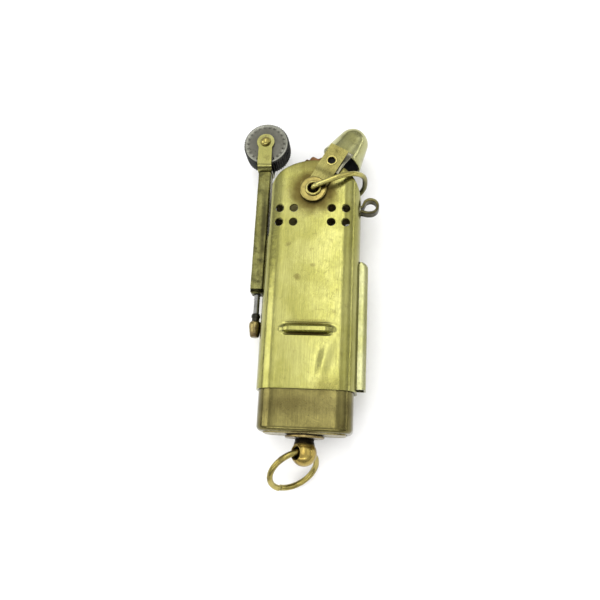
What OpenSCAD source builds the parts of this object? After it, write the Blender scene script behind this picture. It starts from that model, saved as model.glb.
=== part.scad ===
// Windproof pocket lighter of sheet brass, lying on its back.
// X runs across the sleeve, Y along it towards the flame, and Z out of its front face.

/* [Sleeve] */
// Width of the windscreen sleeve
body_w = 20; // [19.8:0.1:20.4]
// Depth of the sleeve, front to back
body_d = 11; // [10.8:0.1:11.4]
// Radius of the sleeve's long corners
corner_r = 4; // [3.6:0.1:4.2]
// Height of the straight side walls
side_h = 40.75; // [40.5:0.25:42]
// Rise of the arched top above the side walls
arch_h = 8.3; // [7.9:0.1:8.7]
// Thickness of the sleeve's sheet
wall = 0.45; // [0.4:0.05:0.5]
// Diameter of a vent hole
vent_d = 1.6; // [1.2:0.1:2]
// Height of the pressed thumb ridge above the front face
ridge_h = 1; // [0.7:0.1:1.2]

/* [Striker] */
// Outer radius of the striker wheel
wheel_r = 5.16; // [4.8:0.02:5.2]
// Thickness of the striker wheel
wheel_t = 4.77; // [4.4:0.01:4.8]
// Height of the wheel's axle above the sleeve's lower edge
wheel_y = 55; // [55:0.1:56]
// Number of teeth on the wheel
wheel_teeth = 56; // [40:2:72]
// Width of the flint tube
tube_w = 2.85; // [2.7:0.05:3]
// Depth of the flint tube
tube_d = 3.2; // [3:0.1:3.4]
// Travel of the flint plunger
plunger_travel = 9; // [6:0.5:10]

/* [Snuffer] */
// Distance of the snuffer's pivot from the sleeve's lower edge
pivot_y = 41.98; // [41.8:0.02:42.2]
// Angle at which the snuffer stands open
open_angle = 29; // [0:1:35]
// Width of a snuffer leg
leg_w = 4.25; // [3.8:0.05:4.4]
// Length of a snuffer leg from the pivot
leg_l = 11.05; // [10.8:0.05:11.1]
// Outer radius of the cap's mouth
cap_r = 4.65; // [4.5:0.05:4.8]

/* [Bail] */
// Diameter of the bail wire
bail_d = 1; // [0.8:0.1:1]
// Reach of the bail from the pivot to its wire's centre
bail_reach = 11.65; // [11.5:0.05:11.8]
// Angle of the bail above the crosswise direction
bail_angle = 23; // [15:1:26]

/* [Tank] */
// Gap between the tank and the sleeve all round
tank_gap = 0.07; // [0.05:0.01:0.12]
// Length of the tank that shows below the sleeve
tank_drop = 8.1; // [6:0.1:9]
// Height of the tank's top above the sleeve's lower edge
tank_top_y = 31; // [29:0.5:32]
// Outer radius of the burner tube
burner_r = 3.1; // [2.9:0.1:3.2]
// Height of the burner tube's crown
burner_top_y = 51.2; // [50.6:0.2:52]

/* [Ring] */
// Radius of the split ring, to its wire's centre
ring_r = 5; // [4.9:0.05:5.2]
// Diameter of the ring's wire
ring_wire_d = 1.2; // [1:0.1:1.3]
// Turn of the swivel head
swivel_turn = 43; // [0:1:90]
// Swing of the ring out of line with the lighter
ring_tilt = 45; // [0:1:80]

/* [Hidden] */
$fn = 48;

mid_z = body_d / 2;
half_w = body_w / 2;
sleeve_h = side_h + arch_h;
inner_w = body_w - 2 * wall;
inner_d = body_d - 2 * wall;
inner_r = corner_r - wall;
past = 1; // how far a cutter runs past the face it cuts
run_gap = 0.05; // radial gap of a running fit
flat_gap = 0.05; // gap between faces that slide on each other

// Vent holes: two columns and two rows on each side of the centreline
vent_x = [3.985, 7.1];
vent_y = [34.81, 37.96];

// Left wall opening for the sparks
spark_x = -9.1;
spark_y = 33;
spark_slope = 1.5;

// Thumb ridge
ridge_y = 11.75;
ridge_half = 4.55;
ridge_crest_r = 0.5;
ridge_foot = 1.55;

// Side rail and its leaf
rail_out = 1.8;
rail_d = 4;
rail_wall = 0.35;
rail_y0 = 0.65;
rail_y1 = 27.3;
rail_corner = 1.4;
rail_edge = 0.7;
leaf_w = 2;
leaf_t = 0.25;
leaf_half = 9.5;
leaf_bow = 1.55;
leaf_y = (rail_y0 + rail_y1) / 2;

// Chain eye
eye_bore_r = 1.2;
eye_r = 1.85;
eye_d = 2.2;
eye_x = half_w + 2.03;
eye_y = 40.5;
eye_slot_y0 = 39;
eye_slot_y1 = 40.3;

// Eyelets and washers, as heights above the front face
eyelet_bore_r = 1.1;
eyelet_r = 1.5;
eyelet_foot_r = 2.2;
leg_t = 0.42;
leg_step = 0.37;
leg_low = flat_gap;
washer_r = 2.85;
washer_t = 0.38;
washer_low = leg_low + leg_t + flat_gap;
lip_low = washer_low + washer_t;
lip_r = 0.24;

// Flint tube, fork and wheel
arm_x = -half_w - tube_w / 2;
tube_wall = 0.3;
tube_y0 = 21.2;
tube_y1 = 48.4;
tube_edge = 0.35;
end_cap_y0 = 20.3;
end_cap_in = 1;
fork_t = 0.6;
fork_w = 3.2;
fork_head_r = 1.95;
fork_base_t = 0.6;
fork_gap = 0.165;
ear_low = wheel_t / 2 + fork_gap;
axle_r = 0.9;
axle_head_r = 1.12;
axle_head_h = 0.95;
tooth_depth = 0.2;
cheek_t = 0.35;
cheek_drop = 0.12;
punch_r = 0.17;
punch_depth = 0.12;
punch_count = 22;
punch_ring_r = 4.05;
flint_r = 1.05;
flint_top_y = wheel_y - wheel_r - 0.04;
flint_bottom_y = 44.7;

// Plunger and its spring
rod_r = 0.6;
rod_head_r = 1;
rod_head_t = 0.8;
rod_bottom_y = 12.4;
knob_top_y = 14.4;
knob_bottom_y = 11;
knob_r = 1.3;
collar_top_y = 16.1;
collar_r = 0.95;
coil_wire_r = 0.15;
coil_r = 0.83;
coil_turns = 11;
coil_y0 = tube_y0 + end_cap_in + coil_wire_r;
coil_y1 = flint_bottom_y - rod_head_t - coil_wire_r;
coil_sides = 6;
coil_steps = 12;

// Snuffer
tongue_w = 4.8;
tongue_shift = 0.35;
tongue_t = 0.35;
tongue_start = 5.5;
cap_mouth = 11.2;
cap_sphere_r = 3.5;
cap_centre = 15.9;
cap_wall = 0.5;
rivet_along = 7.51;
rivet_r = 0.95;
rivet_bore_r = 0.68;
rivet_flange_r = 1.2;
rivet_flange_t = 0.16;

// Bail
bail_half = body_d / 2 + 1.95;
bail_corner = 5;
bail_hook_r = 0.9;
bail_hook_low = 4.1;

// Tank
tank_w = inner_w - 2 * tank_gap;
tank_d = inner_d - 2 * tank_gap;
tank_r = inner_r - tank_gap;
tank_wall = 0.4;
tank_edge = 1;
tank_lid_t = 0.4;
plate_proud = 0.3;
plate_t = 0.5;
burner_wall = 0.35;
crown_teeth = 9;
crown_depth = 0.7;
wick_r = 2.4;
wick_top_y = 51.5;
wick_bottom_y = 5;
packing_y0 = -3;
packing_y1 = tank_top_y - 1.2;

// Filler screw, swivel and ring
plate_y = -tank_drop - plate_proud;
gasket_t = 0.15;
gasket_r = 3.6;
flange_r = 3.93;
flange_t = 0.5;
flange_y = plate_y - gasket_t - flange_t;
stem_r = 1.9;
stem_top_y = -4.3;
bush_r = 2.8;
bush_top_y = -4.5;
swivel_stem_r = 0.85;
swivel_bore_r = swivel_stem_r + run_gap;
swivel_peen_r = 1.35;
swivel_peen_t = 0.4;
head_y = flange_y - 2.85;
head_r = 2.55;
head_flat = 2.05;
head_neck_r = 1.9;
head_hole_r = 1.15;
ring_offset = ring_r - 0.45;
ring_gap_angle = 4;
ring_gap_at = 263;

// Middle of the whole lighter's box, and its lowest point
low_x = arm_x - wheel_r;
high_x = eye_x + eye_r;
low_y = head_y - (ring_offset + ring_r) * cos(ring_tilt) - ring_wire_d / 2;
high_y = wheel_y + wheel_r;
low_z = mid_z - bail_half - bail_d / 2;
mid_x = (low_x + high_x) / 2;
mid_y = (low_y + high_y) / 2;

// ---- helpers ----

module placed() {
    translate([-mid_x, -mid_y, -low_z]) children();
}

// Mirrors a front piece to the back face
module on_back() {
    translate([0, 0, body_d]) mirror([0, 0, 1]) children();
}

// Flat outline with round corners, centred
module round_rect(w, d, r) {
    square([w - 2 * r, d], center = true);
    square([w, d - 2 * r], center = true);
    for (x = [-1, 1], y = [-1, 1])
        translate([x * (w / 2 - r), y * (d / 2 - r)]) circle(r = r);
}

// Extrudes an outline drawn across the lighter from y0 to y1
module along_y(y0, y1) {
    translate([0, y1, 0]) rotate([90, 0, 0]) linear_extrude(y1 - y0) children();
}

// Turns a profile (radius, height) round a line parallel to Y
module turned_y() {
    rotate([-90, 0, 0]) rotate_extrude() children();
}

module rod_y(r, y0, y1) {
    translate([0, y1, 0]) rotate([90, 0, 0]) cylinder(r = r, h = y1 - y0);
}

module at_pivot() {
    translate([0, pivot_y, 0]) children();
}

module at_arm() {
    translate([arm_x, 0, mid_z]) children();
}

module at_middle() {
    translate([0, 0, mid_z]) children();
}

module at_snuffer() {
    at_pivot() rotate([0, 0, -open_angle]) children();
}

module at_swivel() {
    translate([0, head_y, mid_z]) rotate([0, swivel_turn, 0]) children();
}

// ---- case ----

module sleeve_outline() {
    translate([-half_w - past, -past]) square([body_w + 2 * past, side_h + past]);
    translate([0, side_h]) scale([half_w, arch_h]) circle(r = 1);
}

module spark_opening() {
    linear_extrude(3 * body_d, center = true) polygon([
        [spark_x, sleeve_h + past],
        [spark_x, spark_y],
        [spark_x - 0.7, spark_y - spark_slope],
        [-half_w - past, spark_y - spark_slope],
        [-half_w - past, sleeve_h + past]
    ]);
}

module ridge_skin(r, half, foot, rise) {
    hull() {
        for (x = [-1, 1])
            translate([x * half, ridge_y, rise - r]) sphere(r = r, $fn = 32);
        for (x = [-1, 1])
            translate([x * (half - 0.1), ridge_y + 0.45 * foot, -wall])
                cylinder(r = 0.62 * foot, h = wall, $fn = 32);
    }
}

module thumb_ridge() {
    translate([0, 0, body_d]) ridge_skin(ridge_crest_r, ridge_half, ridge_foot, ridge_h);
}

module ridge_slot() {
    slot_h = wall + ridge_h - 0.4;
    translate([-ridge_half, ridge_y - 0.95, body_d - 1.5 * wall]) cube([2 * ridge_half, 1.1, slot_h]);
}

module case_sleeve() color("darkkhaki") placed() difference() {
    union() {
        intersection() {
            at_middle() along_y(0, sleeve_h) round_rect(body_w, body_d, corner_r);
            linear_extrude(3 * body_d, center = true) sleeve_outline();
        }
        thumb_ridge();
    }
    at_middle() along_y(-past, sleeve_h + past) round_rect(inner_w, inner_d, inner_r);
    ridge_slot();
    spark_opening();
    for (side = [-1, 1], x = vent_x, y = vent_y)
        translate([side * x, y, -past]) cylinder(d = vent_d, h = body_d + 2 * past);
    at_pivot() translate([0, 0, -past]) cylinder(r = eyelet_r, h = body_d + 2 * past);
    translate([half_w - 2 * wall, eye_slot_y0, mid_z - eye_d / 2])
        cube([4 * wall, eye_slot_y1 - eye_slot_y0, eye_d]);
    translate([half_w - 2 * wall, rail_y0 + 2, mid_z - leaf_w / 2 - 0.3])
        cube([4 * wall, rail_y1 - rail_y0 - 5, leaf_w + 0.6]);
}

module rail_profile(out, d, edge) {
    translate([half_w, -d / 2]) square([out - edge, d]);
    translate([half_w, -d / 2 + edge]) square([out, d - 2 * edge]);
    for (z = [-1, 1])
        translate([half_w + out - edge, z * (d / 2 - edge)]) circle(r = edge);
}

module rail_side(out, y1, corner) {
    translate([half_w, rail_y0 - past]) square([out - corner, y1 - rail_y0 + past]);
    translate([half_w, rail_y0 - past]) square([out, y1 - corner - rail_y0 + past]);
    translate([half_w + out - corner, y1 - corner]) circle(r = corner);
}

module rail_solid(out, d, y0, y1, edge, corner) {
    intersection() {
        at_middle() along_y(y0, y1) rail_profile(out, d, edge);
        linear_extrude(3 * body_d, center = true) rail_side(out, y1, corner);
    }
}

module side_rail() color("khaki") placed() difference() {
    rail_solid(rail_out, rail_d, rail_y0, rail_y1, rail_edge, rail_corner);
    rail_solid(rail_out - rail_wall, rail_d - 2 * rail_wall, rail_y0 - past,
        rail_y1 - rail_wall, rail_edge - rail_wall + 0.05, rail_corner - rail_wall);
}

module retaining_spring() color("gray") placed() {
    bend_r = (leaf_half * leaf_half + leaf_bow * leaf_bow) / (2 * leaf_bow);
    near_x = tank_w / 2 + flat_gap;
    intersection() {
        translate([near_x + bend_r, leaf_y, mid_z - leaf_w / 2]) difference() {
            cylinder(r = bend_r, h = leaf_w, $fn = 128);
            translate([0, 0, -past]) cylinder(r = bend_r - leaf_t, h = leaf_w + 2 * past, $fn = 128);
        }
        translate([near_x - past, leaf_y - leaf_half, 0])
            cube([past + half_w + rail_out - rail_wall - near_x, 2 * leaf_half, body_d]);
    }
}

module eye_outline() {
    translate([eye_x, eye_y]) circle(r = eye_r);
    polygon([
        [half_w - wall - 0.2, eye_slot_y0],
        [half_w, eye_slot_y0],
        [eye_x, eye_y - eye_r],
        [eye_x, eye_y],
        [eye_x - 1.35, eye_y + 1.26],
        [half_w, eye_slot_y1],
        [half_w - wall - 0.2, eye_slot_y1]
    ]);
}

module chain_eye() color("darkolivegreen") placed() translate([0, 0, mid_z - eye_d / 2]) {
    difference() {
        linear_extrude(eye_d) eye_outline();
        translate([eye_x, eye_y, -past]) cylinder(r = eye_bore_r, h = eye_d + 2 * past);
    }
    translate([half_w - wall - 0.35, eye_slot_y0 - 0.5, -0.3])
        cube([0.35, eye_slot_y1 - eye_slot_y0 + 0.9, eye_d + 0.6]);
}

// Barrel with a flat foot behind the wall and a rolled lip in front of the washer
module eyelet() {
    translate([0, pivot_y, body_d]) rotate_extrude() {
        translate([eyelet_bore_r, -2 * wall]) square([eyelet_foot_r - eyelet_bore_r, wall]);
        translate([eyelet_bore_r, -2 * wall])
            square([eyelet_r - eyelet_bore_r, 2 * wall + lip_low + lip_r]);
        translate([eyelet_r, lip_low + lip_r]) circle(r = lip_r);
        translate([eyelet_bore_r + lip_r, lip_low + lip_r]) square([eyelet_r - eyelet_bore_r - lip_r, lip_r]);
        translate([eyelet_bore_r + lip_r, lip_low + lip_r]) circle(r = lip_r);
    }
}

module pivot_washer() {
    translate([0, pivot_y, body_d + washer_low]) difference() {
        cylinder(r = washer_r, h = washer_t);
        translate([0, 0, -past]) cylinder(r = eyelet_r, h = washer_t + 2 * past);
    }
}

module front_eyelet() color("gold") placed() eyelet();
module back_eyelet() color("gold") placed() on_back() eyelet();
module front_washer() color("goldenrod") placed() pivot_washer();
module back_washer() color("goldenrod") placed() on_back() pivot_washer();

// ---- striker ----

module flint_tube() color("olive") placed() at_arm() difference() {
    along_y(tube_y0, tube_y1) round_rect(tube_w, tube_d, tube_edge);
    along_y(tube_y0 - past, tube_y1 + past)
        square([tube_w - 2 * tube_wall, tube_d - 2 * tube_wall], center = true);
}

module tube_end_cap() color("olive") placed() at_arm() difference() {
    union() {
        along_y(tube_y0, tube_y0 + end_cap_in)
            square([tube_w - 2 * tube_wall, tube_d - 2 * tube_wall], center = true);
        along_y(tube_y0 - 0.45, tube_y0) round_rect(tube_w, tube_d, tube_edge);
        along_y(end_cap_y0, tube_y0 - 0.45) round_rect(tube_w - 0.7, tube_d - 0.7, tube_edge);
    }
    rod_y(rod_r + run_gap, end_cap_y0 - past, tube_y0 + end_cap_in + past);
}

// One ear seen from the front: a strip with a round head
module ear_outline() {
    translate([-fork_w / 2, tube_y1]) square([fork_w, wheel_y - tube_y1]);
    translate([0, wheel_y]) circle(r = fork_head_r);
}

module ear_solid() {
    intersection() {
        linear_extrude(body_d) ear_outline();
        translate([-fork_w, 0, 0]) rotate([90, 0, 90]) linear_extrude(2 * fork_w) polygon([
            [tube_y1, 0],
            [tube_y1 + fork_base_t, 0],
            [tube_y1 + fork_base_t, ear_low - 0.4],
            [tube_y1 + fork_base_t + 0.7, ear_low],
            [wheel_y + 2 * fork_head_r, ear_low],
            [wheel_y + 2 * fork_head_r, ear_low + fork_t],
            [tube_y1 + fork_base_t + 0.35, ear_low + fork_t],
            [tube_y1, ear_low + 0.1]
        ]);
    }
}

module wheel_fork() color("khaki") placed() at_arm() difference() {
    union() {
        ear_solid();
        mirror([0, 0, 1]) ear_solid();
    }
    rod_y(flint_r + run_gap, tube_y1 - past, tube_y1 + fork_base_t + past);
    translate([0, wheel_y, -body_d]) cylinder(r = axle_r, h = 2 * body_d);
}

module axle_head() {
    translate([0, wheel_y, ear_low + fork_t]) intersection() {
        scale([1, 1, axle_head_h / axle_head_r]) sphere(r = axle_head_r);
        cylinder(r = 2 * axle_head_r, h = 2 * axle_head_h);
    }
}

module wheel_axle() color("gold") placed() at_arm() {
    translate([0, wheel_y, -ear_low - fork_t]) cylinder(r = axle_r, h = 2 * (ear_low + fork_t));
    axle_head();
    mirror([0, 0, 1]) axle_head();
}

module flint() color("dimgray") placed() at_arm() rod_y(flint_r, flint_bottom_y, flint_top_y);

module tooth_outline() {
    points = 2 * wheel_teeth;
    polygon([for (i = [0 : points - 1])
        let (r = wheel_r - (i % 2) * tooth_depth, a = 360 * i / points) [r * cos(a), r * sin(a)]]);
}

module punch_marks() {
    for (i = [0 : punch_count - 1])
        rotate([0, 0, 360 * i / punch_count])
            translate([punch_ring_r, 0, wheel_t / 2 - punch_depth]) cylinder(r = punch_r, h = past);
}

module striker_wheel() color("slategray") placed() at_arm() translate([0, wheel_y, 0]) difference() {
    union() {
        linear_extrude(wheel_t - 2 * cheek_t, center = true) tooth_outline();
        cylinder(r = wheel_r - tooth_depth - cheek_drop, h = wheel_t, center = true, $fn = 96);
    }
    cylinder(r = axle_r + run_gap, h = 2 * wheel_t, center = true);
    punch_marks();
    mirror([0, 0, 1]) punch_marks();
}

// ---- plunger ----

module plunger_rod() color("silver") placed() at_arm() {
    rod_y(rod_r, rod_bottom_y, flint_bottom_y - rod_head_t);
    rod_y(rod_head_r, flint_bottom_y - rod_head_t, flint_bottom_y);
}

module plunger_collar() color("darkslategray") placed() at_arm() turned_y() polygon([
    [rod_r, knob_top_y],
    [collar_r - 0.1, knob_top_y],
    [collar_r - 0.1, knob_top_y + 0.8],
    [collar_r, knob_top_y + 0.9],
    [collar_r, knob_top_y + 1.25],
    [rod_r + 0.15, collar_top_y],
    [rod_r, collar_top_y]
]);

module plunger_knob() color("saddlebrown") placed() at_arm() difference() {
    turned_y() polygon([
        [0, knob_bottom_y],
        [0.75, knob_bottom_y],
        [0.95, knob_bottom_y + 0.25],
        [knob_r - 0.05, knob_top_y - 1.6],
        [knob_r, knob_top_y - 1.1],
        [knob_r, knob_top_y - 0.45],
        [knob_r - 0.35, knob_top_y],
        [0, knob_top_y]
    ]);
    rod_y(rod_r, rod_bottom_y, knob_top_y + past);
}

// Ring of points round the coil's centreline at turn angle a
function coil_ring(a, y) = [for (s = [0 : coil_sides - 1])
    let (b = 360 * s / coil_sides, r = coil_r + coil_wire_r * cos(b))
        [r * cos(a), y + coil_wire_r * sin(b), r * sin(a)]];

module flint_spring() color("silver") placed() at_arm() {
    rings = coil_turns * coil_steps;
    points = [for (i = [0 : rings])
        each coil_ring(360 * i / coil_steps, coil_y0 + (coil_y1 - coil_y0) * i / rings)];
    sides = [for (i = [0 : rings - 1], s = [0 : coil_sides - 1])
        let (t = (s + 1) % coil_sides)
            each [
                [(i + 1) * coil_sides + s, (i + 1) * coil_sides + t, i * coil_sides + t],
                [(i + 1) * coil_sides + s, i * coil_sides + t, i * coil_sides + s]
            ]];
    first = [for (s = [0 : coil_sides - 1]) s];
    last = [for (s = [0 : coil_sides - 1]) rings * coil_sides + coil_sides - 1 - s];
    polyhedron(points, concat(sides, [first, last]));
}

// ---- snuffer, drawn closed with its legs along +Y from the pivot ----

// Leg seen from the side: it steps outward to clear the cap's tongue
module leg_strip() {
    translate([-leg_w, 0, body_d]) rotate([90, 0, 90]) linear_extrude(2 * leg_w) polygon([
        [-leg_w, leg_low],
        [4.3, leg_low],
        [5.1, leg_low + leg_step],
        [leg_l, leg_low + leg_step],
        [leg_l, leg_low + leg_step + leg_t],
        [5, leg_low + leg_step + leg_t],
        [4.2, leg_low + leg_t],
        [-leg_w, leg_low + leg_t]
    ]);
}

module leg_outline() {
    circle(r = leg_w / 2);
    translate([-leg_w / 2, 0]) square([leg_w, leg_l]);
}

module snuffer_leg() {
    difference() {
        intersection() {
            linear_extrude(2 * body_d) leg_outline();
            leg_strip();
        }
        cylinder(r = eyelet_r + run_gap, h = 3 * body_d);
        translate([0, rivet_along, 0]) cylinder(r = rivet_r, h = 3 * body_d);
    }
}

module snuffer_leg_front() color("darkkhaki") placed() at_snuffer() snuffer_leg();
module snuffer_leg_back() color("darkkhaki") placed() on_back() at_snuffer() snuffer_leg();

// Tongue that runs down behind the leg from the cap's mouth
module cap_tongue() {
    low = body_d + leg_low;
    rim = mid_z + cap_r;
    difference() {
        translate([tongue_shift - tongue_w / 2, 0, 0]) rotate([90, 0, 90]) linear_extrude(tongue_w) polygon([
            [tongue_start, low],
            [8.3, low],
            [10.9, rim - 0.45],
            [11.6, rim - 0.5],
            [11.6, rim - 0.1],
            [11.2, rim],
            [8.5, low + tongue_t],
            [tongue_start, low + tongue_t]
        ]);
        translate([0, rivet_along, 0]) cylinder(r = rivet_r, h = 3 * body_d);
    }
}

module cap_form(mouth_r, sphere_r) {
    translate([0, 0, mid_z]) turned_y() {
        polygon([
            [0, cap_mouth],
            [mouth_r, cap_mouth],
            [sphere_r * cos(12), cap_centre + sphere_r * sin(12)],
            [0, cap_centre + sphere_r * sin(12)]
        ]);
        translate([0, cap_centre]) intersection() {
            circle(r = sphere_r, $fn = 96);
            square(2 * sphere_r);
        }
    }
}

module snuffer_cap() color("khaki") placed() at_snuffer() {
    difference() {
        cap_form(cap_r, cap_sphere_r);
        translate([0, -0.01, 0]) cap_form(cap_r - cap_wall, cap_sphere_r - cap_wall);
    }
    cap_tongue();
    on_back() cap_tongue();
}

module snuffer_rivet() {
    base = body_d + leg_low;
    top = leg_step + leg_t;
    translate([0, rivet_along, base]) rotate_extrude() {
        translate([rivet_bore_r, 0]) square([rivet_r - rivet_bore_r, top + rivet_flange_t]);
        translate([rivet_bore_r, top]) square([rivet_flange_r - rivet_bore_r, rivet_flange_t]);
    }
}

module snuffer_rivets() color("gold") placed() at_snuffer() {
    snuffer_rivet();
    on_back() snuffer_rivet();
}

// ---- bail, drawn in a flat frame: x is the reach, y the height off the middle plane ----

module wire_arc(r, from, sweep, wire) {
    rotate([0, 0, from]) rotate_extrude(angle = sweep) translate([r, 0]) circle(d = wire);
}

module bail_half_wire() {
    translate([bail_reach - bail_corner, bail_half - bail_corner, 0]) wire_arc(bail_corner, 0, 90, bail_d);
    translate([bail_hook_r, bail_half, 0]) rotate([0, 90, 0])
        cylinder(d = bail_d, h = bail_reach - bail_corner - bail_hook_r);
    translate([bail_hook_r, bail_half - bail_hook_r, 0]) wire_arc(bail_hook_r, 90, 90, bail_d);
    rod_y_flat(bail_hook_low, bail_half - bail_hook_r);
}

module rod_y_flat(y0, y1) {
    rod_y(bail_d / 2, y0, y1);
}

module bail_wire() color("gold") placed() at_pivot() at_middle()
    rotate([0, 0, bail_angle]) rotate([90, 0, 0]) {
        bail_half_wire();
        mirror([0, 1, 0]) bail_half_wire();
        translate([bail_reach, 0, 0]) rod_y_flat(bail_corner - bail_half, bail_half - bail_corner);
    }

// ---- tank ----

// Outer form of the tank with a rounded bottom edge
module tank_form() {
    along_y(tank_edge - tank_drop, tank_top_y) round_rect(tank_w, tank_d, tank_r);
    hull() for (x = [-1, 1], z = [-1, 1])
        translate([x * (tank_w / 2 - tank_r), tank_edge - tank_drop, z * (tank_d / 2 - tank_r)])
            turned_y() {
                translate([0, -tank_edge]) square([tank_r - tank_edge, tank_edge]);
                intersection() {
                    translate([tank_r - tank_edge, 0]) circle(r = tank_edge, $fn = 32);
                    translate([0, -tank_edge]) square([tank_r, tank_edge]);
                }
            }
}

module tank_shell() color("peru") placed() at_middle() difference() {
    tank_form();
    along_y(plate_y + plate_t + 0.1, tank_top_y + past)
        round_rect(tank_w - 2 * tank_wall, tank_d - 2 * tank_wall, tank_r - tank_wall);
    along_y(-tank_drop - past, 0)
        round_rect(tank_w - 2 * tank_edge - 0.1, tank_d - 2 * tank_edge - 0.1, tank_r - tank_edge - 0.05);
}

module tank_bottom() color("peru") placed() at_middle() difference() {
    along_y(plate_y, plate_y + plate_t)
        round_rect(tank_w - 2 * tank_edge - 0.1, tank_d - 2 * tank_edge - 0.1, tank_r - tank_edge - 0.05);
    rod_y(bush_r, plate_y - past, plate_y + plate_t + past);
}

module tank_top() color("peru") placed() at_middle() difference() {
    along_y(tank_top_y - tank_lid_t, tank_top_y)
        round_rect(tank_w - 2 * tank_wall, tank_d - 2 * tank_wall, tank_r - tank_wall);
    rod_y(burner_r, 0, tank_top_y + past);
}

module filler_bush() color("goldenrod") placed() at_middle() difference() {
    rod_y(bush_r, plate_y, bush_top_y);
    rod_y(stem_r + run_gap, plate_y - past, bush_top_y + past);
}

module burner_tube() color("saddlebrown") placed() at_middle() difference() {
    union() {
        rod_y(burner_r, tank_top_y - tank_lid_t, burner_top_y);
        rod_y(burner_r + 0.5, tank_top_y, tank_top_y + 0.8);
    }
    rod_y(burner_r - burner_wall, 0, burner_top_y + past);
    for (i = [0 : crown_teeth - 1])
        rotate([0, 360 * i / crown_teeth, 0]) translate([0, burner_top_y, 0])
            rotate([0, 0, 45]) cube([crown_depth * 1.6, crown_depth * 1.6, 3 * burner_r], center = true);
}

module wick() color("dimgray") placed() at_middle() rod_y(wick_r, wick_bottom_y, wick_top_y);

module cotton_packing() color("ivory") placed() at_middle() difference() {
    along_y(packing_y0, packing_y1)
        round_rect(tank_w - 3 * tank_wall, tank_d - 3 * tank_wall, tank_r - tank_wall);
    rod_y(wick_r, wick_bottom_y, packing_y1 + past);
}

// ---- filler, swivel and ring ----

module filler_gasket() color("black") placed() at_middle() difference() {
    rod_y(gasket_r, plate_y - gasket_t, plate_y);
    rod_y(stem_r + run_gap, plate_y - past, plate_y + past);
}

module filler_screw() color("goldenrod") placed() at_middle() difference() {
    union() {
        rod_y(flange_r, flange_y, flange_y + flange_t);
        rod_y(stem_r, flange_y, stem_top_y);
    }
    rod_y(swivel_bore_r, flange_y - past, stem_top_y + past);
}

module swivel_head() color("sienna") placed() {
    at_middle() {
        rod_y(swivel_stem_r, flange_y - 1, stem_top_y + flat_gap);
        rod_y(swivel_peen_r, stem_top_y + flat_gap, stem_top_y + flat_gap + swivel_peen_t);
    }
    at_swivel() difference() {
        union() {
            intersection() {
                sphere(r = head_r);
                cube([2 * head_flat, 3 * head_r, 3 * head_r], center = true);
            }
            rod_y(head_neck_r, 1.2, flange_y - head_y - flat_gap);
        }
        rotate([0, 90, 0]) cylinder(r = head_hole_r, h = 3 * head_r, center = true);
    }
}

module split_ring() color("goldenrod") placed() at_swivel()
    rotate([ring_tilt, 0, 0]) translate([0, -ring_offset, 0])
        wire_arc(ring_r, ring_gap_at + ring_gap_angle / 2, 360 - ring_gap_angle, ring_wire_d);

case_sleeve();
side_rail();
retaining_spring();
chain_eye();
front_eyelet();
back_eyelet();
front_washer();
back_washer();
flint_tube();
tube_end_cap();
wheel_fork();
wheel_axle();
flint();
striker_wheel();
plunger_rod();
plunger_collar();
plunger_knob();
flint_spring();
snuffer_leg_front();
snuffer_leg_back();
snuffer_cap();
snuffer_rivets();
bail_wire();
tank_shell();
tank_bottom();
tank_top();
filler_bush();
burner_tube();
wick();
cotton_packing();
filler_gasket();
filler_screw();
swivel_head();
split_ring();
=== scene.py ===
import math

import bpy
import bmesh
from mathutils import Matrix, Vector, noise


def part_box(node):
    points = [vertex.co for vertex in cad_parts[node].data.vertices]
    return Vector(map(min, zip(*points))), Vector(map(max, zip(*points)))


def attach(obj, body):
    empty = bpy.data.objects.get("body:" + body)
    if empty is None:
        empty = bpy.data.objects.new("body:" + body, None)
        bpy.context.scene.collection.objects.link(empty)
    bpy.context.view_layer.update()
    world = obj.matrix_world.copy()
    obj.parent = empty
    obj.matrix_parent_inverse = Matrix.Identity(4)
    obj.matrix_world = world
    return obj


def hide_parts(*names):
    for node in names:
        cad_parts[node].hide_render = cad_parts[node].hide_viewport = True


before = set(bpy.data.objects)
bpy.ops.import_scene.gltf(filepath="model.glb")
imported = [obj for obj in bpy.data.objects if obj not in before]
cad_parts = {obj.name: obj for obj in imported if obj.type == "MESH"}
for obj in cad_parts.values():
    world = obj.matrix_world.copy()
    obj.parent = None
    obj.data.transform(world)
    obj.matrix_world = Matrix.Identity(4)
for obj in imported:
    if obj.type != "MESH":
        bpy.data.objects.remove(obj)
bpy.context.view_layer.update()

MM = 0.001
TAU = 2 * math.pi

# ---------------------------------------------------------------- home frame
# Shapes are drawn in millimetres round the sleeve: x from its centreline, y from its
# lower edge towards the flame, z from its middle plane towards the front face.

sleeve_low, sleeve_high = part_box("case_sleeve")
wheel_low, wheel_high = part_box("striker_wheel")
HOME = Vector(((sleeve_low.x + sleeve_high.x) / 2, sleeve_low.y, (wheel_low.z + wheel_high.z) / 2))
PLACE = Matrix.Translation(HOME) @ Matrix.Scale(MM, 4)


def span(node):
    """Lowest and highest corner of a CAD node in the home frame."""
    low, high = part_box(node)
    return (low - HOME) / MM, (high - HOME) / MM


def middle(node):
    low, high = span(node)
    return (low + high) / 2


def shift(x, y, z):
    return Matrix.Translation((x, y, z))


def turn(degrees, axis):
    return Matrix.Rotation(math.radians(degrees), 4, axis)


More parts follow.
